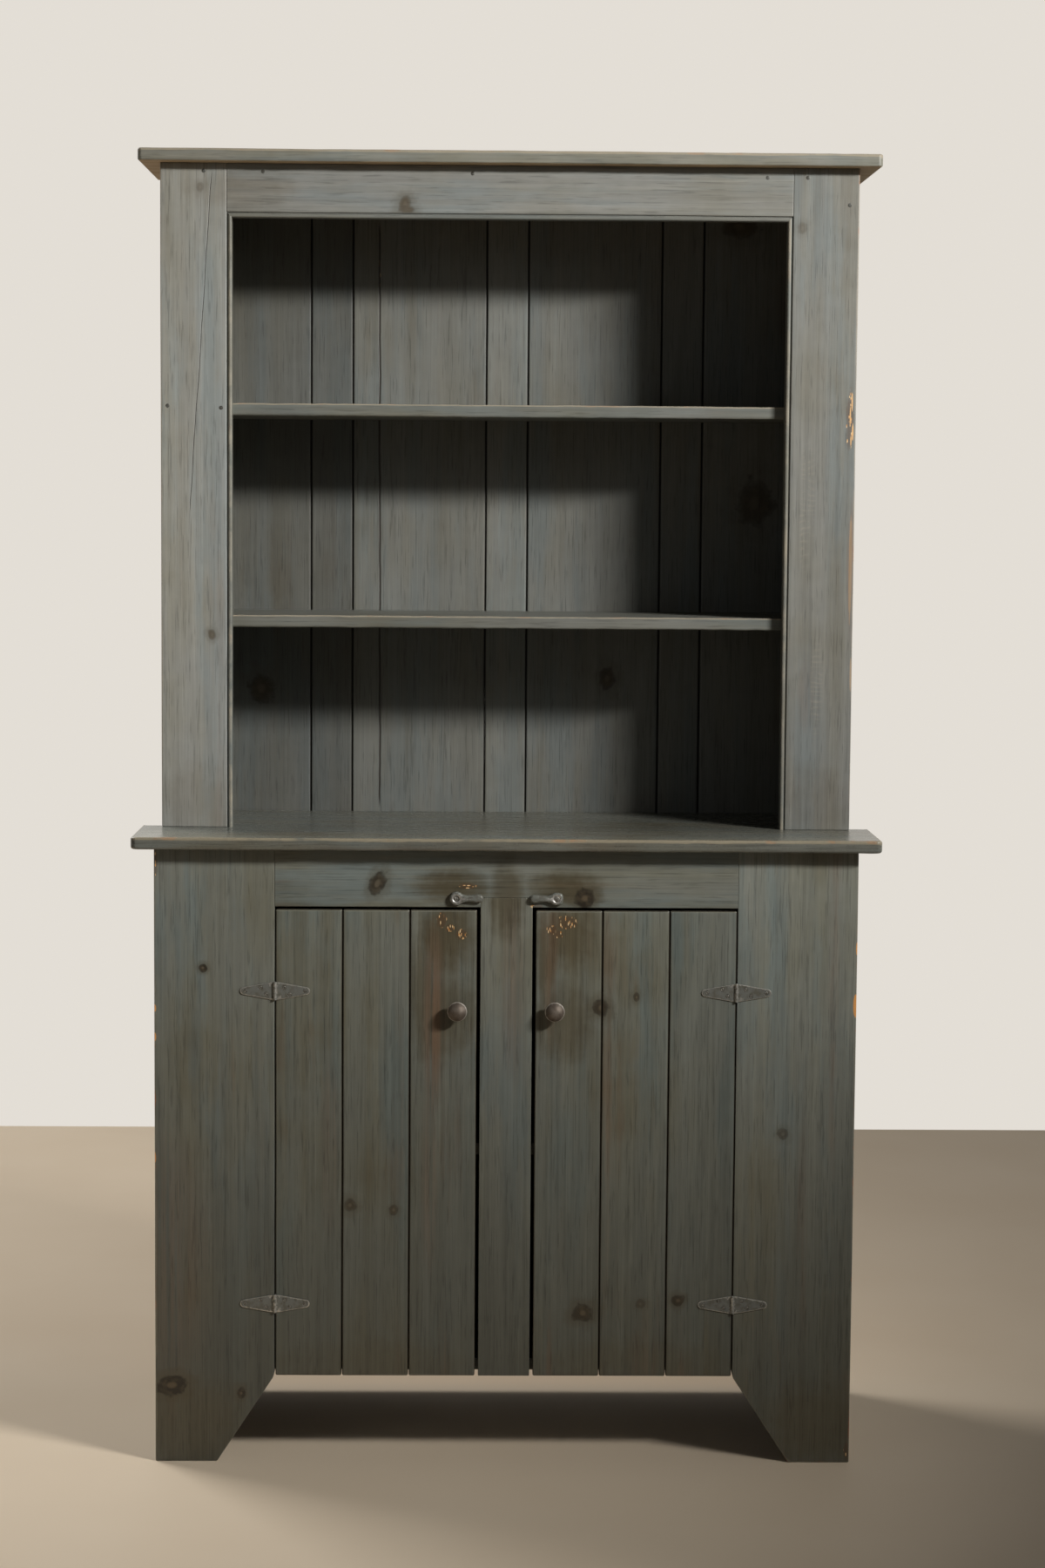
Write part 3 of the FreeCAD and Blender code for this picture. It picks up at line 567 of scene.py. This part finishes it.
# A board: its outline drawn in a plane, extruded, cut, and softened at the arrises. Each side of the outline has its
# own share of wear, and the arrises under a board have the radius and the share of wear given as under and lowWear.
def plank(node, finish, plane, outline, start, end, grain, wear, edge=1.2, under=None, rim=6, corners=None, spacing=60,
          wave=None, lowWear=1.0, joints=False, paintedFrontLight=None):
    a, b, c = axes[plane]
    bm = bmesh.new()
    bm.faces.new([bm.verts.new(point(plane, u, v, start)) for u, v in outline])
    if corners:
        bm.verts.ensure_lookup_table()
        roundOff(bm, [bm.verts[i] for i in corners["at"]], corners["radius"], 6, "VERTICES")
    ops.translate(bm, verts=raised(bm, bm.faces[:]), vec=point(plane, 0, 0, end - start))
    faceOut(bm)
    sides = list(zip(outline, outline[1:] + outline[:1], wear))
    cutBoard(bm, node, plane, sides, start, end, grain, rim, spacing, paintedFrontLight)
    if under:
        softenFlat(bm, c, {start: under, end: edge})
    else:
        roundOff(bm, sharpEdges(bm), edge)
    ops.remove_doubles(bm, verts=bm.verts[:], dist=0.01 * mm)
    ops.dissolve_degenerate(bm, edges=bm.edges[:], dist=0.01 * mm)
    corner = [(Vector(p), min(wear[i - 1], wear[i])) for i, p in enumerate(outline)]

    def wornAt(co):
        p, depth = Vector((co[a], co[b])) / mm, co[c] / mm
        inset = min(abs(depth - start), abs(depth - end))
        found = [worn * (1 - (math.hypot(offSegment(p, Vector(s), Vector(t)), inset) - edge) / rim)
                 for s, t, worn in sides if worn]
        found += [worn * (1 - ((p - q).length - edge) / rim) for q, worn in corner if worn]
        share = lowWear if abs(depth - start) < 0.5 * abs(end - start) else 1
        return max([0.0] + [min(value, 1.0) for value in found]) * share

    def grimeAt(co):  # the glaze lies dark in the joints between boards
        depth = abs(co[c] / mm - start)
        off = min(offSegment(Vector((co[a], co[b])) / mm, Vector(s), Vector(t)) for s, t, worn in sides)
        return min(1, (depth - 0.2) / 0.5) if off < 0.75 and depth > 0.2 else 0

    markWood(bm, node, plane, grain, wornAt)
    if joints:
        grimeLayer = bm.verts.layers.float.new("grime")
        for vert in bm.verts:
            vert[grimeLayer] = grimeAt(vert.co)
    if paintedFrontLight:  # painted light: the top is made paler towards its front edge
        toneLayer = bm.verts.layers.float["tone"]
        for vert in bm.verts:
            if abs(vert.co.z / mm - end) < 0.3:
                near = (paintedFrontLight["from"] - vert.co.y / mm) / (paintedFrontLight["from"] - paintedFrontLight["to"])
                vert[toneLayer] *= 1 + paintedFrontLight["gain"] * max(0, min(1, near))
    warp(bm)
    if wave:
        waver(bm, wave)
    boarded(node, bm, finish)


def box(u0, v0, u1, v1):
    return [(u0, v0), (u1, v0), (u1, v1), (u0, v1)]


case = {
    "half": 508, "inside": 489, "dado": 495, "top": 1887, "counterUnder": 902, "counterTop": 920, "thick": 18,
    "upperFace": -58.5, "upperBehind": -39.5, "lowerFace": -180.5, "lowerBehind": -161.5,
    "backFront": 194.5, "back": 209.5,
}
frames = {"opening": 412, "openingTop": 1817, "doorway": 334.5, "doorwayTop": 818, "notch": 37.5, "notchTop": 832,
          "foot": 418, "footTop": 128, "footRadius": 6}


def facePlank(node, paint, outline, grain, wear, **more):
    plank(node, paint, "xz", outline, case[paint + "Face"], case[paint + "Behind"], grain, wear, **more)


half, top, under, over = case["half"], case["top"], case["counterUnder"], case["counterTop"]
inner, doorway, foot = frames["opening"], frames["doorway"], frames["foot"]
low, notch, notchTop, footTop = frames["doorwayTop"], frames["notch"], frames["notchTop"], frames["footTop"]
for hand, s in hands.items():
    facePlank("upper_stile_" + hand, "upper", [(inner * s, over), (half * s, over), (half * s, top), (inner * s, top)],
              "z", (0, 0.9, 0.25, 0.35))
    facePlank("lower_stile_" + hand, "lower",
              [(half * s, 0), (foot * s, 0), (doorway * s, footTop), (doorway * s, under), (half * s, under)],
              "z", (0.8, 0.9, 0.45, 0, 0.95), corners={"at": [2], "radius": frames["footRadius"]})
facePlank("upper_rail", "upper", box(-inner, frames["openingTop"], inner, top), "x", (0.35, 0, 0.1, 0))
facePlank("lower_rail", "lower",
          [(-doorway, low), (-notch, low), (-notch, notchTop), (notch, notchTop), (notch, low), (doorway, low),
           (doorway, under), (-doorway, under)],
          "x", (0.6, 0, 0, 0, 0.6, 0, 0.1, 0), edge=0.9)
facePlank("mullion", "lower", box(-notch, footTop, notch, notchTop), "z", (0.6, 0.5, 0, 0.5), edge=1.0)
print("face frames made")

shelves = {
    "open": {"shelf_upper": 1542, "shelf_middle": 1232}, "hidden": {"cupboard_shelf": 470, "cupboard_floor": 150},
    "edge": 1.5, "under": 3.2, "wave": {"front": -39.5, "reach": 14, "pace": 24, "amount": 1.1},
}
for name, level in shelves["open"].items():
    plank(name, "shelf", "xy",
          box(-case["dado"], case["upperBehind"], case["dado"], case["backFront"]), level - case["thick"], level, "x",
          (1, 0, 0, 0), edge=shelves["edge"], under=shelves["under"], rim=5, spacing=16, lowWear=0.1,
          wave={**shelves["wave"], "seed": level * 0.37})
for name, level in shelves["hidden"].items():
    plank(name, "bay", "xy",
          box(-case["dado"], case["lowerBehind"], case["dado"], case["backFront"]), level - case["thick"], level, "x",
          (0.7, 0, 0, 0))

counter = {"half": 539, "front": -209.5, "earBack": -39.5, "edge": 3.4, "under": 4.2, "radius": 9,
           "paintedFrontLight": {"from": -60, "to": -206, "gain": 0.62},
           "wave": {"front": -209.5, "reach": 22, "pace": 17, "amount": 0.9, "seed": 3.1}}
half, inside, front, ear = counter["half"], case["inside"], counter["front"], counter["earBack"]
plank("counter_top", "counter", "xy",
      [(-half, front), (half, front), (half, ear), (inside, ear), (inside, case["backFront"]),
       (-inside, case["backFront"]), (-inside, ear), (-half, ear)],
      case["counterUnder"], case["counterTop"], "x", (1, 0.9, 0.5, 0, 0, 0, 0.5, 0.9), edge=counter["edge"],
      under=counter["under"], rim=7, spacing=18, lowWear=0.1, paintedFrontLight=counter["paintedFrontLight"],
      corners={"at": [0, 1], "radius": counter["radius"]}, wave=counter["wave"])

topBoard = {"half": 538, "front": -88.5, "edge": 2.8, "under": 2.6, "radius": 7,
            "wave": {"front": -88.5, "reach": 22, "pace": 18, "amount": 0.9, "seed": 8.4}}
plank("top_board", "top", "xy",
      box(-topBoard["half"], topBoard["front"], topBoard["half"], case["back"]), top, top + case["thick"],
      "x", (1, 0.9, 0.4, 0.9), edge=topBoard["edge"], under=topBoard["under"], rim=6, spacing=18, lowWear=0.15,
      corners={"at": [0, 1], "radius": topBoard["radius"]}, wave=topBoard["wave"])

backing = {"joints": (-498.5, -301, -237, -32, 32, 237, 301, 498.5), "from": 40, "gap": 0.7, "edge": 1.8,
           "lap": 0.85, "lapFrom": 203, "lapTo": 209}
for i in range(7):
    left = backing["joints"][i] + (backing["gap"] if i else 0)
    right = backing["joints"][i + 1] - (backing["gap"] if i < 6 else 0)
    plank(f"back_board_{i + 1}", "bay", "xz", box(left, backing["from"], right, case["top"]),
          case["backFront"], case["back"], "z", (0.6, 0.2 if i < 6 else 0, 0, 0.2 if i else 0),
          edge=backing["edge"], rim=4, spacing=90, joints=True)
for i, x in enumerate(backing["joints"][1:-1]):  # the boards' rear halves lap, so no light comes through
    plank(f"back_lap_{i + 1}", "bay", "xz",
          box(x - backing["lap"], backing["from"] + 1, x + backing["lap"], case["top"] - 1), backing["lapFrom"],
          backing["lapTo"], "z", (0, 0, 0, 0), edge=0.15, rim=0.4, spacing=300)
print("shelves, counter, top and back made")


def cutsAlong(axis, levels):
    way = Vector([float(axis == each) for each in "xyz"])
    return [(way * (level * mm), way) for level in levels]


# The sides and the bead strips keep the frame's own shape
def copied(node, finish, grain, plane, wornAt, cuts):
    bm = bmesh.new()
    bm.from_mesh(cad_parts[node].data)
    ops.remove_doubles(bm, verts=bm.verts[:], dist=1e-6)
    ops.dissolve_limit(bm, angle_limit=0.02, verts=bm.verts[:], edges=bm.edges[:])
    for at, normal in cuts:
        ops.bisect_plane(bm, geom=everything(bm), plane_co=at, plane_no=normal)
    markWood(bm, node, plane, grain, wornAt)
    warp(bm)
    for e in bm.edges:
        e.smooth = e.calc_face_angle(0) < 0.7
    boarded(node, bm, finish)


bead = {"inner": 0.4096, "under": 1.8142, "front": -0.0545}  # metres, the arrises that are worn
for hand in hands:
    copied("side_" + hand, "bay", "z", "yz",
           lambda co: 0.8 * max(0, 1 - co.z / (6 * mm), 1 - abs(co.y - case["back"] * mm) / (5 * mm)),
           cutsAlong("z", range(6, 1886, 94)))
for hand in hands:
    copied("bead_" + hand, "shelf", "z", "xz",
           lambda co: 0.85 if abs(co.x) < bead["inner"] and co.y < bead["front"] else 0.0,
           cutsAlong("z", range(960, 1800, 60)))
copied("bead_top", "shelf", "x", "xz",
       lambda co: 0.6 if co.z < bead["under"] and co.y < bead["front"] else 0.0, cutsAlong("x", range(-380, 400, 60)))
print("sides and beads made")

door = {"bottom": 128, "top": 814, "face": -180.5, "behind": -162, "nearMullion": 42.5, "board": 96.03, "gap": 1.2,
        "battens": {"upper": (663, 727), "lower": (203, 267)},
        "battenFrom": 64.5, "battenTo": 311, "battenBehind": -143, "screwRadius": 3.6}
for hand, s in hands.items():
    for i in range(3):
        inner = door["nearMullion"] + i * (door["board"] + door["gap"])
        x0, x1 = inner * s, (inner + door["board"]) * s
        plank(f"door_{hand}_board_{i + 1}", "door", "xz",
              box(x0, door["bottom"], x1, door["top"]), door["face"], door["behind"], "z",
              (0.8, 0.5 if i < 2 else 0.35, 0.95, 0.55 if i else 0.8), edge=2.0, rim=5, joints=True)
    for name, (low, high) in door["battens"].items():
        plank(f"door_{hand}_batten_{name}", "bay", "xz",
              box(door["battenFrom"] * s, low, door["battenTo"] * s, high), door["behind"], door["battenBehind"], "x",
              (0.6, 0.6, 0.6, 0.6))
print("doors made")


def loop(bm, points):
    verts = [bm.verts.new(p) for p in points]
    return verts, [bm.edges.new((verts[i - 1], verts[i])) for i in range(len(verts))]


def loft(bm, rings, closed=False):
    made = [loop(bm, ring) for ring in rings]
    for (_, first), (_, second) in zip(made, made[1:] + made[:closed]):
        ops.bridge_loops(bm, edges=first + second)
    if not closed:
        bm.faces.new(made[0][0])
        bm.faces.new(made[-1][0])


def markMetal(bm, wornAt):
    layer = bm.verts.layers.float.new("arris")
    for vert in bm.verts:
        vert[layer] = wornAt(vert.co / mm)


hinge = {
    "axisX": 333.75, "axisY": -182.9, "heights": {"upper": 695, "lower": 235}, "plate": (-180.5, -182.1),
    "root": 1.4, "half": 12.8, "shoulder": 4.8, "tip": 5.6, "tipAt": 45, "hole": 1.8, "sink": 3.3, "rim": 0.6,
    "barrel": 2.4, "barrelRim": 0.35, "pin": (-13.7, 13.7, 1.2),
    "knuckles": {"door": [(-4.3, 4.3)], "case": [(4.6, 13.2), (-13.2, -4.6)]},
    "screws": {1: [(13.2, 5), (21, -5), (43, 0)], -1: [(21, 5), (13.2, -5), (43, 0)]}, "screwRadius": 2.7,
}


def circle(x, z, y, radius, count=20, turn=0.0, star=0):
    # with star, only each sixth point stays at the radius
    made = []
    for i in range(count):
        angle, reach = 2 * math.pi * i / count + turn, star if star and i % 6 else radius
        made.append(Vector((x + reach * math.cos(angle), y, z + reach * math.sin(angle))) * mm)
    return made


def polar(reach, degrees):
    return reach * math.cos(math.radians(degrees)), reach * math.sin(math.radians(degrees))


def tipped(fitting, turns):  # the round end of a leaf or of a button's tail
    return [(fitting["tipAt"] + u, v) for u, v in (polar(fitting["tip"], t) for t in turns)]


def leafOutline():
    root, shoulder, half = hinge["root"], hinge["shoulder"], hinge["half"]
    return [(root, -half), (shoulder, -half), *tipped(hinge, range(-80, 81, 16)), (shoulder, half), (root, half)]


def hingeLeaf(hand, row, kind, away):
    # away is +1 for a plate that reaches to the right of the pin and -1 to the left
    x = hinge["axisX"] * hands[hand]
    z = hinge["heights"][row]
    back, front = hinge["plate"]
    heads = [(x + u * away, z + v) for u, v in hinge["screws"][away]]
    bm = bmesh.new()
    _, outer = loop(bm, [Vector((x + u * away, back, z + v)) * mm for u, v in leafOutline()])
    holes = []
    for hx, hz in heads:
        holes += loop(bm, circle(hx, hz, back, hinge["hole"]))[1]
    ops.triangle_fill(bm, edges=outer + holes, use_beauty=True)
    lifted = raised(bm, bm.faces[:])
    ops.translate(bm, verts=lifted, vec=(0, (front - back) * mm, 0))
    for hx, hz in heads:  # countersinks
        centre = Vector((hx, front, hz)) * mm
        for vert in lifted:
            if (vert.co - centre).length < (hinge["hole"] + 0.4) * mm:
                vert.co = centre + (vert.co - centre) * (hinge["sink"] / hinge["hole"])
    faceOut(bm)

    def rimmed(e):  # on the front face and clear of the countersinks
        if e.calc_face_angle(0) < 1.2 or any(abs(v.co.y - front * mm) > 1e-6 for v in e.verts):
            return False
        return all(math.hypot(v.co.x - hx * mm, v.co.z - hz * mm) > (hinge["sink"] + 0.1) * mm
                   for v in e.verts for hx, hz in heads)

    roundOff(bm, [e for e in bm.edges if rimmed(e)], hinge["rim"])
    rods = [(low, high, hinge["barrel"]) for low, high in hinge["knuckles"][kind]]
    for low, high, radius in rods + ([hinge["pin"]] if kind == "case" else []):
        middle = Vector((x, hinge["axisY"], z + (low + high) / 2)) * mm
        made = ops.create_cone(bm, cap_ends=True, segments=28, radius1=radius * mm, radius2=radius * mm,
                               depth=(high - low) * mm, matrix=Matrix.Translation(middle))
        ends = {e for v in made["verts"] for e in v.link_edges if abs(e.verts[0].co.z - e.verts[1].co.z) < 1e-7}
        roundOff(bm, list(ends), hinge["barrelRim"])
    for e in bm.edges:
        e.smooth = e.calc_face_angle(0) < 0.6

    def wornAt(co):
        if math.hypot(co.x - x, co.y - hinge["axisY"]) < hinge["barrel"] + 0.2:
            return 0.75
        near = min(math.hypot(co.x - hx, co.z - hz) for hx, hz in heads)
        if near < hinge["sink"] + 0.3:
            # painted shade: the screw holes are marked to be painted near black
            return -1.0 if near < hinge["hole"] + 0.6 else 0.0
        return 0.95 if co.y < front + 0.6 else 0.0

    markMetal(bm, wornAt)
    body = "case" if kind == "case" else "door_" + hand
    node = f"door_{hand}_{row}_hinge_{kind}_leaf"
    return finished(title(node), bm, metal["paintedHinge"], body, [node])


# Each ring of a head: share of the radius, height over the wood, and the inner points of the driver's star
heads = {
    "screw": {"points": 24, "worn": 0.5, "turn": 1.5,
              "rings": [(0.6, -1.2, 0), (1, 0, 0), (0.93, 0.15, 0), (0.6, 0.25, 0), (0.5, 0.25, 0.2),
                        (0.34, -0.55, 0.12)]},
    "nail": {"points": 16, "worn": 0.25, "turn": 0,
             "rings": [(1, -1.0, 0), (1, 0.12, 0), (0.8, 0.28, 0), (0.35, 0.34, 0)]},
}


def headSet(kind, name, places, finish, body, facing, radius):
    head, bm = heads[kind], bmesh.new()
    for i, (x, y, z) in enumerate(places):
        turn = random.Random(name + str(i)).uniform(0, head["turn"])
        loft(bm, [circle(x, z, y + out * facing, radius * share, head["points"], turn, radius * star)
                  for share, out, star in head["rings"]])
    faceOut(bm)
    markMetal(bm, lambda co: head["worn"])
    finished(name, bm, metal[finish], body, even=False)


def battenHeads(s):  # two for each board, 14 mm above and below the batten's middle line
    pitch, places = door["board"] + door["gap"], []
    for low, high in door["battens"].values():
        for i in range(3):
            for j in (0, 1):
                if i or j or low < 300:  # the knob's screw takes the place of one
                    across = (door["nearMullion"] + (i + 0.25 + 0.5 * j) * pitch) * s
                    places.append((across, door["battenBehind"] - 0.15, (low + high) / 2 + 14 * (1 - 2 * j)))
    return places


for hand, s in hands.items():
    for row, z in hinge["heights"].items():
        for kind, away in (("case", s), ("door", -s)):
            hingeLeaf(hand, row, kind, away)
            places = [(hinge["axisX"] * s + u * away, hinge["plate"][1] + 0.35, z + v)
                      for u, v in hinge["screws"][away]]
            headSet("screw", f"{hand}{row.capitalize()}Hinge{kind.capitalize()}Screws", places, "dullScrew",
                    "case" if kind == "case" else "door_" + hand, -1, hinge["screwRadius"])
    headSet("screw", f"{hand}BattenScrews", battenHeads(s), "dullScrew", "door_" + hand, 1, door["screwRadius"])
print("hinges made")

knob = {"x": 70.5, "z": 668, "face": -180.5, "worn": (11.5, 17.3),
        "profile": [(7.6, 0), (7.3, 1.2), (6.7, 4), (6.6, 7), (7.6, 9.4), (10.6, 10.6), (13.4, 11.8), (14.4, 13.6),
                    (14.4, 15.4), (13.7, 17.2), (12.2, 19.4), (9.8, 21.7), (6.8, 23.6), (3.4, 24.7), (0, 25)]}
for hand, s in hands.items():
    bm = bmesh.new()
    axis = Vector((knob["x"] * s, knob["face"], knob["z"])) * mm
    line = [bm.verts.new(axis + Vector((r, -out, 0)) * mm) for r, out in knob["profile"]]
    outline = [bm.edges.new(pair) for pair in zip(line, line[1:])]
    ops.spin(bm, geom=line + outline, cent=axis, axis=(0, 1, 0), angle=2 * math.pi, steps=40, use_merge=True)
    ops.remove_doubles(bm, verts=bm.verts[:], dist=1e-6)
    ops.holes_fill(bm, edges=[e for e in bm.edges if e.is_boundary])
    faceOut(bm)
    # The rim is worn to bare metal, and its bright ring also stands in for the rim's reflection, a painted highlight
    markMetal(bm, lambda co: 0.95 if knob["worn"][0] < knob["face"] - co.y < knob["worn"][1] else 0.1)
    shape = finished(f"door{hand.capitalize()}Knob", bm, metal["bronzedKnob"], "door_" + hand,
                     [f"door_{hand}_knob"], even=False)
    smooth = shape.modifiers.new("smooth", "SUBSURF")
    smooth.levels = smooth.render_levels = 1

button = {
    "x": 72.5, "z": 831, "face": -180.5, "stand": 0.4, "thick": 6.5, "tipAt": 33, "tip": 6,
    "head": {"left": (10.2, 2.0), "right": (9.0, 3.2)},  # radius and a power, 2 for a circle, more for a squarer head
    "tail": [(13.2, 4.9), (17, 4.6), (21, 4.8), (25, 5.3), (29, 5.9)],
    "behind": [(0.7, 0), (0.1, 0.5), (0, 2.2)],  # inset, distance from the rear face
    "front": [(0.15, 2.4), (0.8, 1.1), (1.9, 0.35), (3.1, 0.05)],  # inset, depth under the front face
    "hole": [(5.6, 0), (4.5, 0.5), (4.05, 2.4), (2.6, 2.9)],  # radius, depth under the front face
}


def buttonOutline(hand):
    radius, square = button["head"][hand]
    shape = []
    for degrees in range(42, 319, 12):
        c, s = polar(1, degrees)
        shape.append(polar(radius / (abs(c) ** square + abs(s) ** square) ** (1 / square), degrees))
    shape += [(u, -v) for u, v in button["tail"]] + tipped(button, range(-72, 73, 18)) + button["tail"][::-1]
    return [Vector(point) for point in shape]


def turnButton(hand, s):
    shape = buttonOutline(hand)
    inward = []
    for i, p in enumerate(shape):
        along = (shape[(i + 1) % len(shape)] - shape[i - 1]).normalized()
        inward.append(Vector((-along.y, along.x)))

    def ring(inset, out):
        return [Vector((button["x"] * s - (p.x + n.x * inset) * s, button["face"] - out,
                        button["z"] + p.y + n.y * inset)) * mm for p, n in zip(shape, inward)]

    def hole(radius, out):
        angles = [math.atan2(p.y, p.x) for p in shape]
        return [Vector((button["x"] * s - radius * math.cos(angle) * s, button["face"] - out,
                        button["z"] + radius * math.sin(angle))) * mm for angle in angles]

    deep, full = button["stand"], button["stand"] + button["thick"]
    bm = bmesh.new()
    loft(bm, [ring(inset, deep + out) for inset, out in button["behind"]]
         + [ring(inset, full - down) for inset, down in button["front"]]
         + [hole(radius, full - down) for radius, down in button["hole"]] + [hole(button["hole"][-1][0], deep)],
         closed=True)
    faceOut(bm)

    def wornAt(co):
        away = math.hypot(co.x - button["x"] * s, co.z - button["z"])
        front = button["face"] - co.y
        return 0.95 if 4.3 < away < 6 and front > full - 1 else (0.6 if front > full - 1.3 and away < 12 else 0.12)

    markMetal(bm, wornAt)
    node = "turn_button_" + hand
    return finished(title(node), bm, metal["wornButton"], node, [node], even=False)


buttonScrews = {"radius": 4.2, "flat": 0.28, "slot": 0.55, "slotDeep": 0.8, "shank": 2.4, "shankLong": 21,
                "shankY": -173.9, "sunkAndTilt": {-1: (2.6, 0.5), 1: (0.7, -0.75)}}
lying = Matrix.Rotation(math.pi / 2, 4, "X")


def slottedScrew(bm, x, z, front, tilt):
    # a domed head with a slot cut across it, on a plain shank
    radius, middle = buttonScrews["radius"] * mm, Vector((x, front, z)) * mm
    ops.create_uvsphere(bm, u_segments=28, v_segments=14, radius=radius,
                        matrix=Matrix.Translation(middle) @ lying @ Matrix.Diagonal((1, 1, buttonScrews["flat"], 1)))
    way = Vector((math.cos(tilt), 0, math.sin(tilt)))
    for side in (-buttonScrews["slot"], buttonScrews["slot"]):
        ops.bisect_plane(bm, geom=everything(bm), plane_co=middle + way * side * mm, plane_no=way)

    def slotted(face):  # in the slot's width, on the front of this head
        off = face.calc_center_median() - middle
        return abs(off.dot(way)) < 0.5 * mm and off.y < -0.1 * mm and off.length < radius * 1.1

    strip = [face for face in bm.faces if slotted(face)]
    sunk = raised(bm, strip)
    ops.delete(bm, geom=[face for face in strip if face.is_valid], context="FACES_ONLY")
    for vert in sunk:
        vert.co.y += buttonScrews["slotDeep"] * mm


bm = bmesh.new()
for s, (sunk, tilt) in buttonScrews["sunkAndTilt"].items():
    slottedScrew(bm, button["x"] * s, button["z"], button["face"] - button["stand"] - button["thick"] + sunk, tilt)
    middle = Vector((button["x"] * s, buttonScrews["shankY"], button["z"])) * mm
    ops.create_cone(bm, cap_ends=True, segments=24, radius1=buttonScrews["shank"] * mm,
                    radius2=buttonScrews["shank"] * mm, depth=buttonScrews["shankLong"] * mm,
                    matrix=Matrix.Translation(middle) @ lying)
faceOut(bm)
markMetal(bm, lambda co: 0.7)
finished("turnButtonScrews", bm, metal["dullScrew"], "case", ["turn_button_screws"], even=False)
for hand, s in hands.items():
    turnButton(hand, s)
print("knobs and turn buttons made")

nails = {
    "frame": [(-359, 1875), (-55, 1875), (374, 1872.5), (432.5, 1873), (494, 1834), (-445, 1875.5), (-498, 1537),
              (-420, 1534.5)],
    "frameRadius": 2.9, "backRadius": 2.4,
    "backLevels": (461, 141, 911, 1223, 1533), "backAcross": (16, 50, 135, 218, 253, 285, 320, 400),
}
across = [-x for x in reversed(nails["backAcross"])] + list(nails["backAcross"])
headSet("nail", "frameNails", [(x, case["upperFace"], z) for x, z in nails["frame"]], "paintedNail", "case", -1,
        nails["frameRadius"])
headSet("nail", "backNails", [(x, case["back"], level) for level in nails["backLevels"] for x in across], "dullScrew",
        "case", 1, nails["backRadius"])
print("nails made")

# The floor
plainFloor = {"tint": (0.83, 0.70, 0.54), "speck": (0.77, 0.63, 0.47), "rough": 0.6, "middle": (0, -2.85, -0.0005),
              "half": (8, 5.15)}
f = Finish(bpy.data.materials.new("paleFloor"))
speck = f.grainOf(f.node("TexCoord", output="Object"), 3, 3)
floorMaterial = f.surface({"Base Color": f.mix(plainFloor["tint"], plainFloor["speck"], speck),
                           "Roughness": plainFloor["rough"] + speck * 0.1, "Specular IOR Level": 0.3})
bm = bmesh.new()
ops.create_grid(bm, x_segments=2, y_segments=2, size=1.0,
                matrix=Matrix.Translation(plainFloor["middle"]) @ Matrix.Diagonal((*plainFloor["half"], 1, 1)))
meshed("floor", bm, floorMaterial)

studio = {"wall": (0.77, 0.73, 0.67), "room": (0.10, 0.095, 0.085), "sky": (1.0, 0.985, 0.96), "skyStrength": 0.036}
w = Finish(bpy.data.worlds.new("studio"))
bpy.context.scene.world = w.owner
rays = w.node("LightPath", output="Is Camera Ray")
mirrored = w.node("Math", {"operation": "ADD", "use_clamp": True},
                  {0: rays.out("Is Glossy Ray"), 1: rays.out("Is Transmission Ray")})
way = w.node("SeparateXYZ", None, {0: w.node("TexCoord", output="Generated")}, "Y")
reflected = w.mix(studio["room"], studio["wall"], w.step(way, -0.1, 0.35))  # a dim room in front, a pale wall behind
ambient = w.strength(studio["sky"], studio["skyStrength"])
shown = w.mix(w.mix(ambient, reflected, mirrored), studio["wall"], rays)
w.node("OutputWorld", None, {"Surface": w.node("Background", None, {"Color": shown})})

lamps = {
    "keyLamp": {"place": (2.65, -2.3, 2.7), "aim": (-0.8, 0.0, 1.4), "size": (0.78, 0.18), "power": 23,
                "colour": (1.0, 0.985, 0.955), "spread": 60},
    "haloLamp": {"place": (2.65, -2.3, 2.7), "aim": (-0.8, 0.0, 1.4), "size": (1.3, 1.3), "power": 5,
                 "colour": (1.0, 0.985, 0.955), "spread": 120},
    "fillLamp": {"place": (-3.2, -3.4, 1.9), "aim": (0, 0, 0.9), "size": (1.8, 1.8), "power": 4,
                 "colour": (0.97, 0.985, 1.0), "spread": 180},
    "backLamp": {"place": (-2.6, 1.9, 3.3), "aim": (-1.2, 0.3, 0), "size": (1.6, 1.6), "power": 85,
                 "colour": (1.0, 0.985, 0.96), "spread": 180},
}
for name, lamp in lamps.items():
    data = bpy.data.lights.new(name, "AREA")
    data.shape = "RECTANGLE"
    data.size, data.size_y = lamp["size"]
    data.energy, data.color, data.spread = lamp["power"], lamp["colour"], math.radians(lamp["spread"])
    made = linked(name, data)
    made.location = lamp["place"]
    made.rotation_euler = (Vector(lamp["aim"]) - Vector(lamp["place"])).to_track_quat("-Z", "Y").to_euler()
print("floor and light made")

# The photograph's camera, its angles in radians
view = {"place": (-0.0533, -4.75, 1.409), "pitch": 0.0899, "roll": 0.0073, "yaw": 0.0164, "lens": 73.28, "sensor": 36}
p, y, r = view["pitch"], view["yaw"], view["roll"]
ahead = Vector((math.sin(y) * math.cos(p), math.cos(y) * math.cos(p), -math.sin(p)))
right = Vector((math.cos(y), -math.sin(y), 0))
up = Vector((math.sin(y) * math.sin(p), math.cos(y) * math.sin(p), math.cos(p)))
right, up = right * math.cos(r) + up * math.sin(r), up * math.cos(r) - right * math.sin(r)
camera = linked("camera", bpy.data.cameras.new("camera"))
camera.data.sensor_fit = "VERTICAL"
camera.data.sensor_height = view["sensor"]
camera.data.lens = view["lens"]
camera.matrix_world = Matrix((right, up, -ahead)).transposed().to_4x4()
camera.location = view["place"]
bpy.context.scene.camera = camera
bpy.context.scene.view_settings.view_transform = "Standard"
print("camera made")
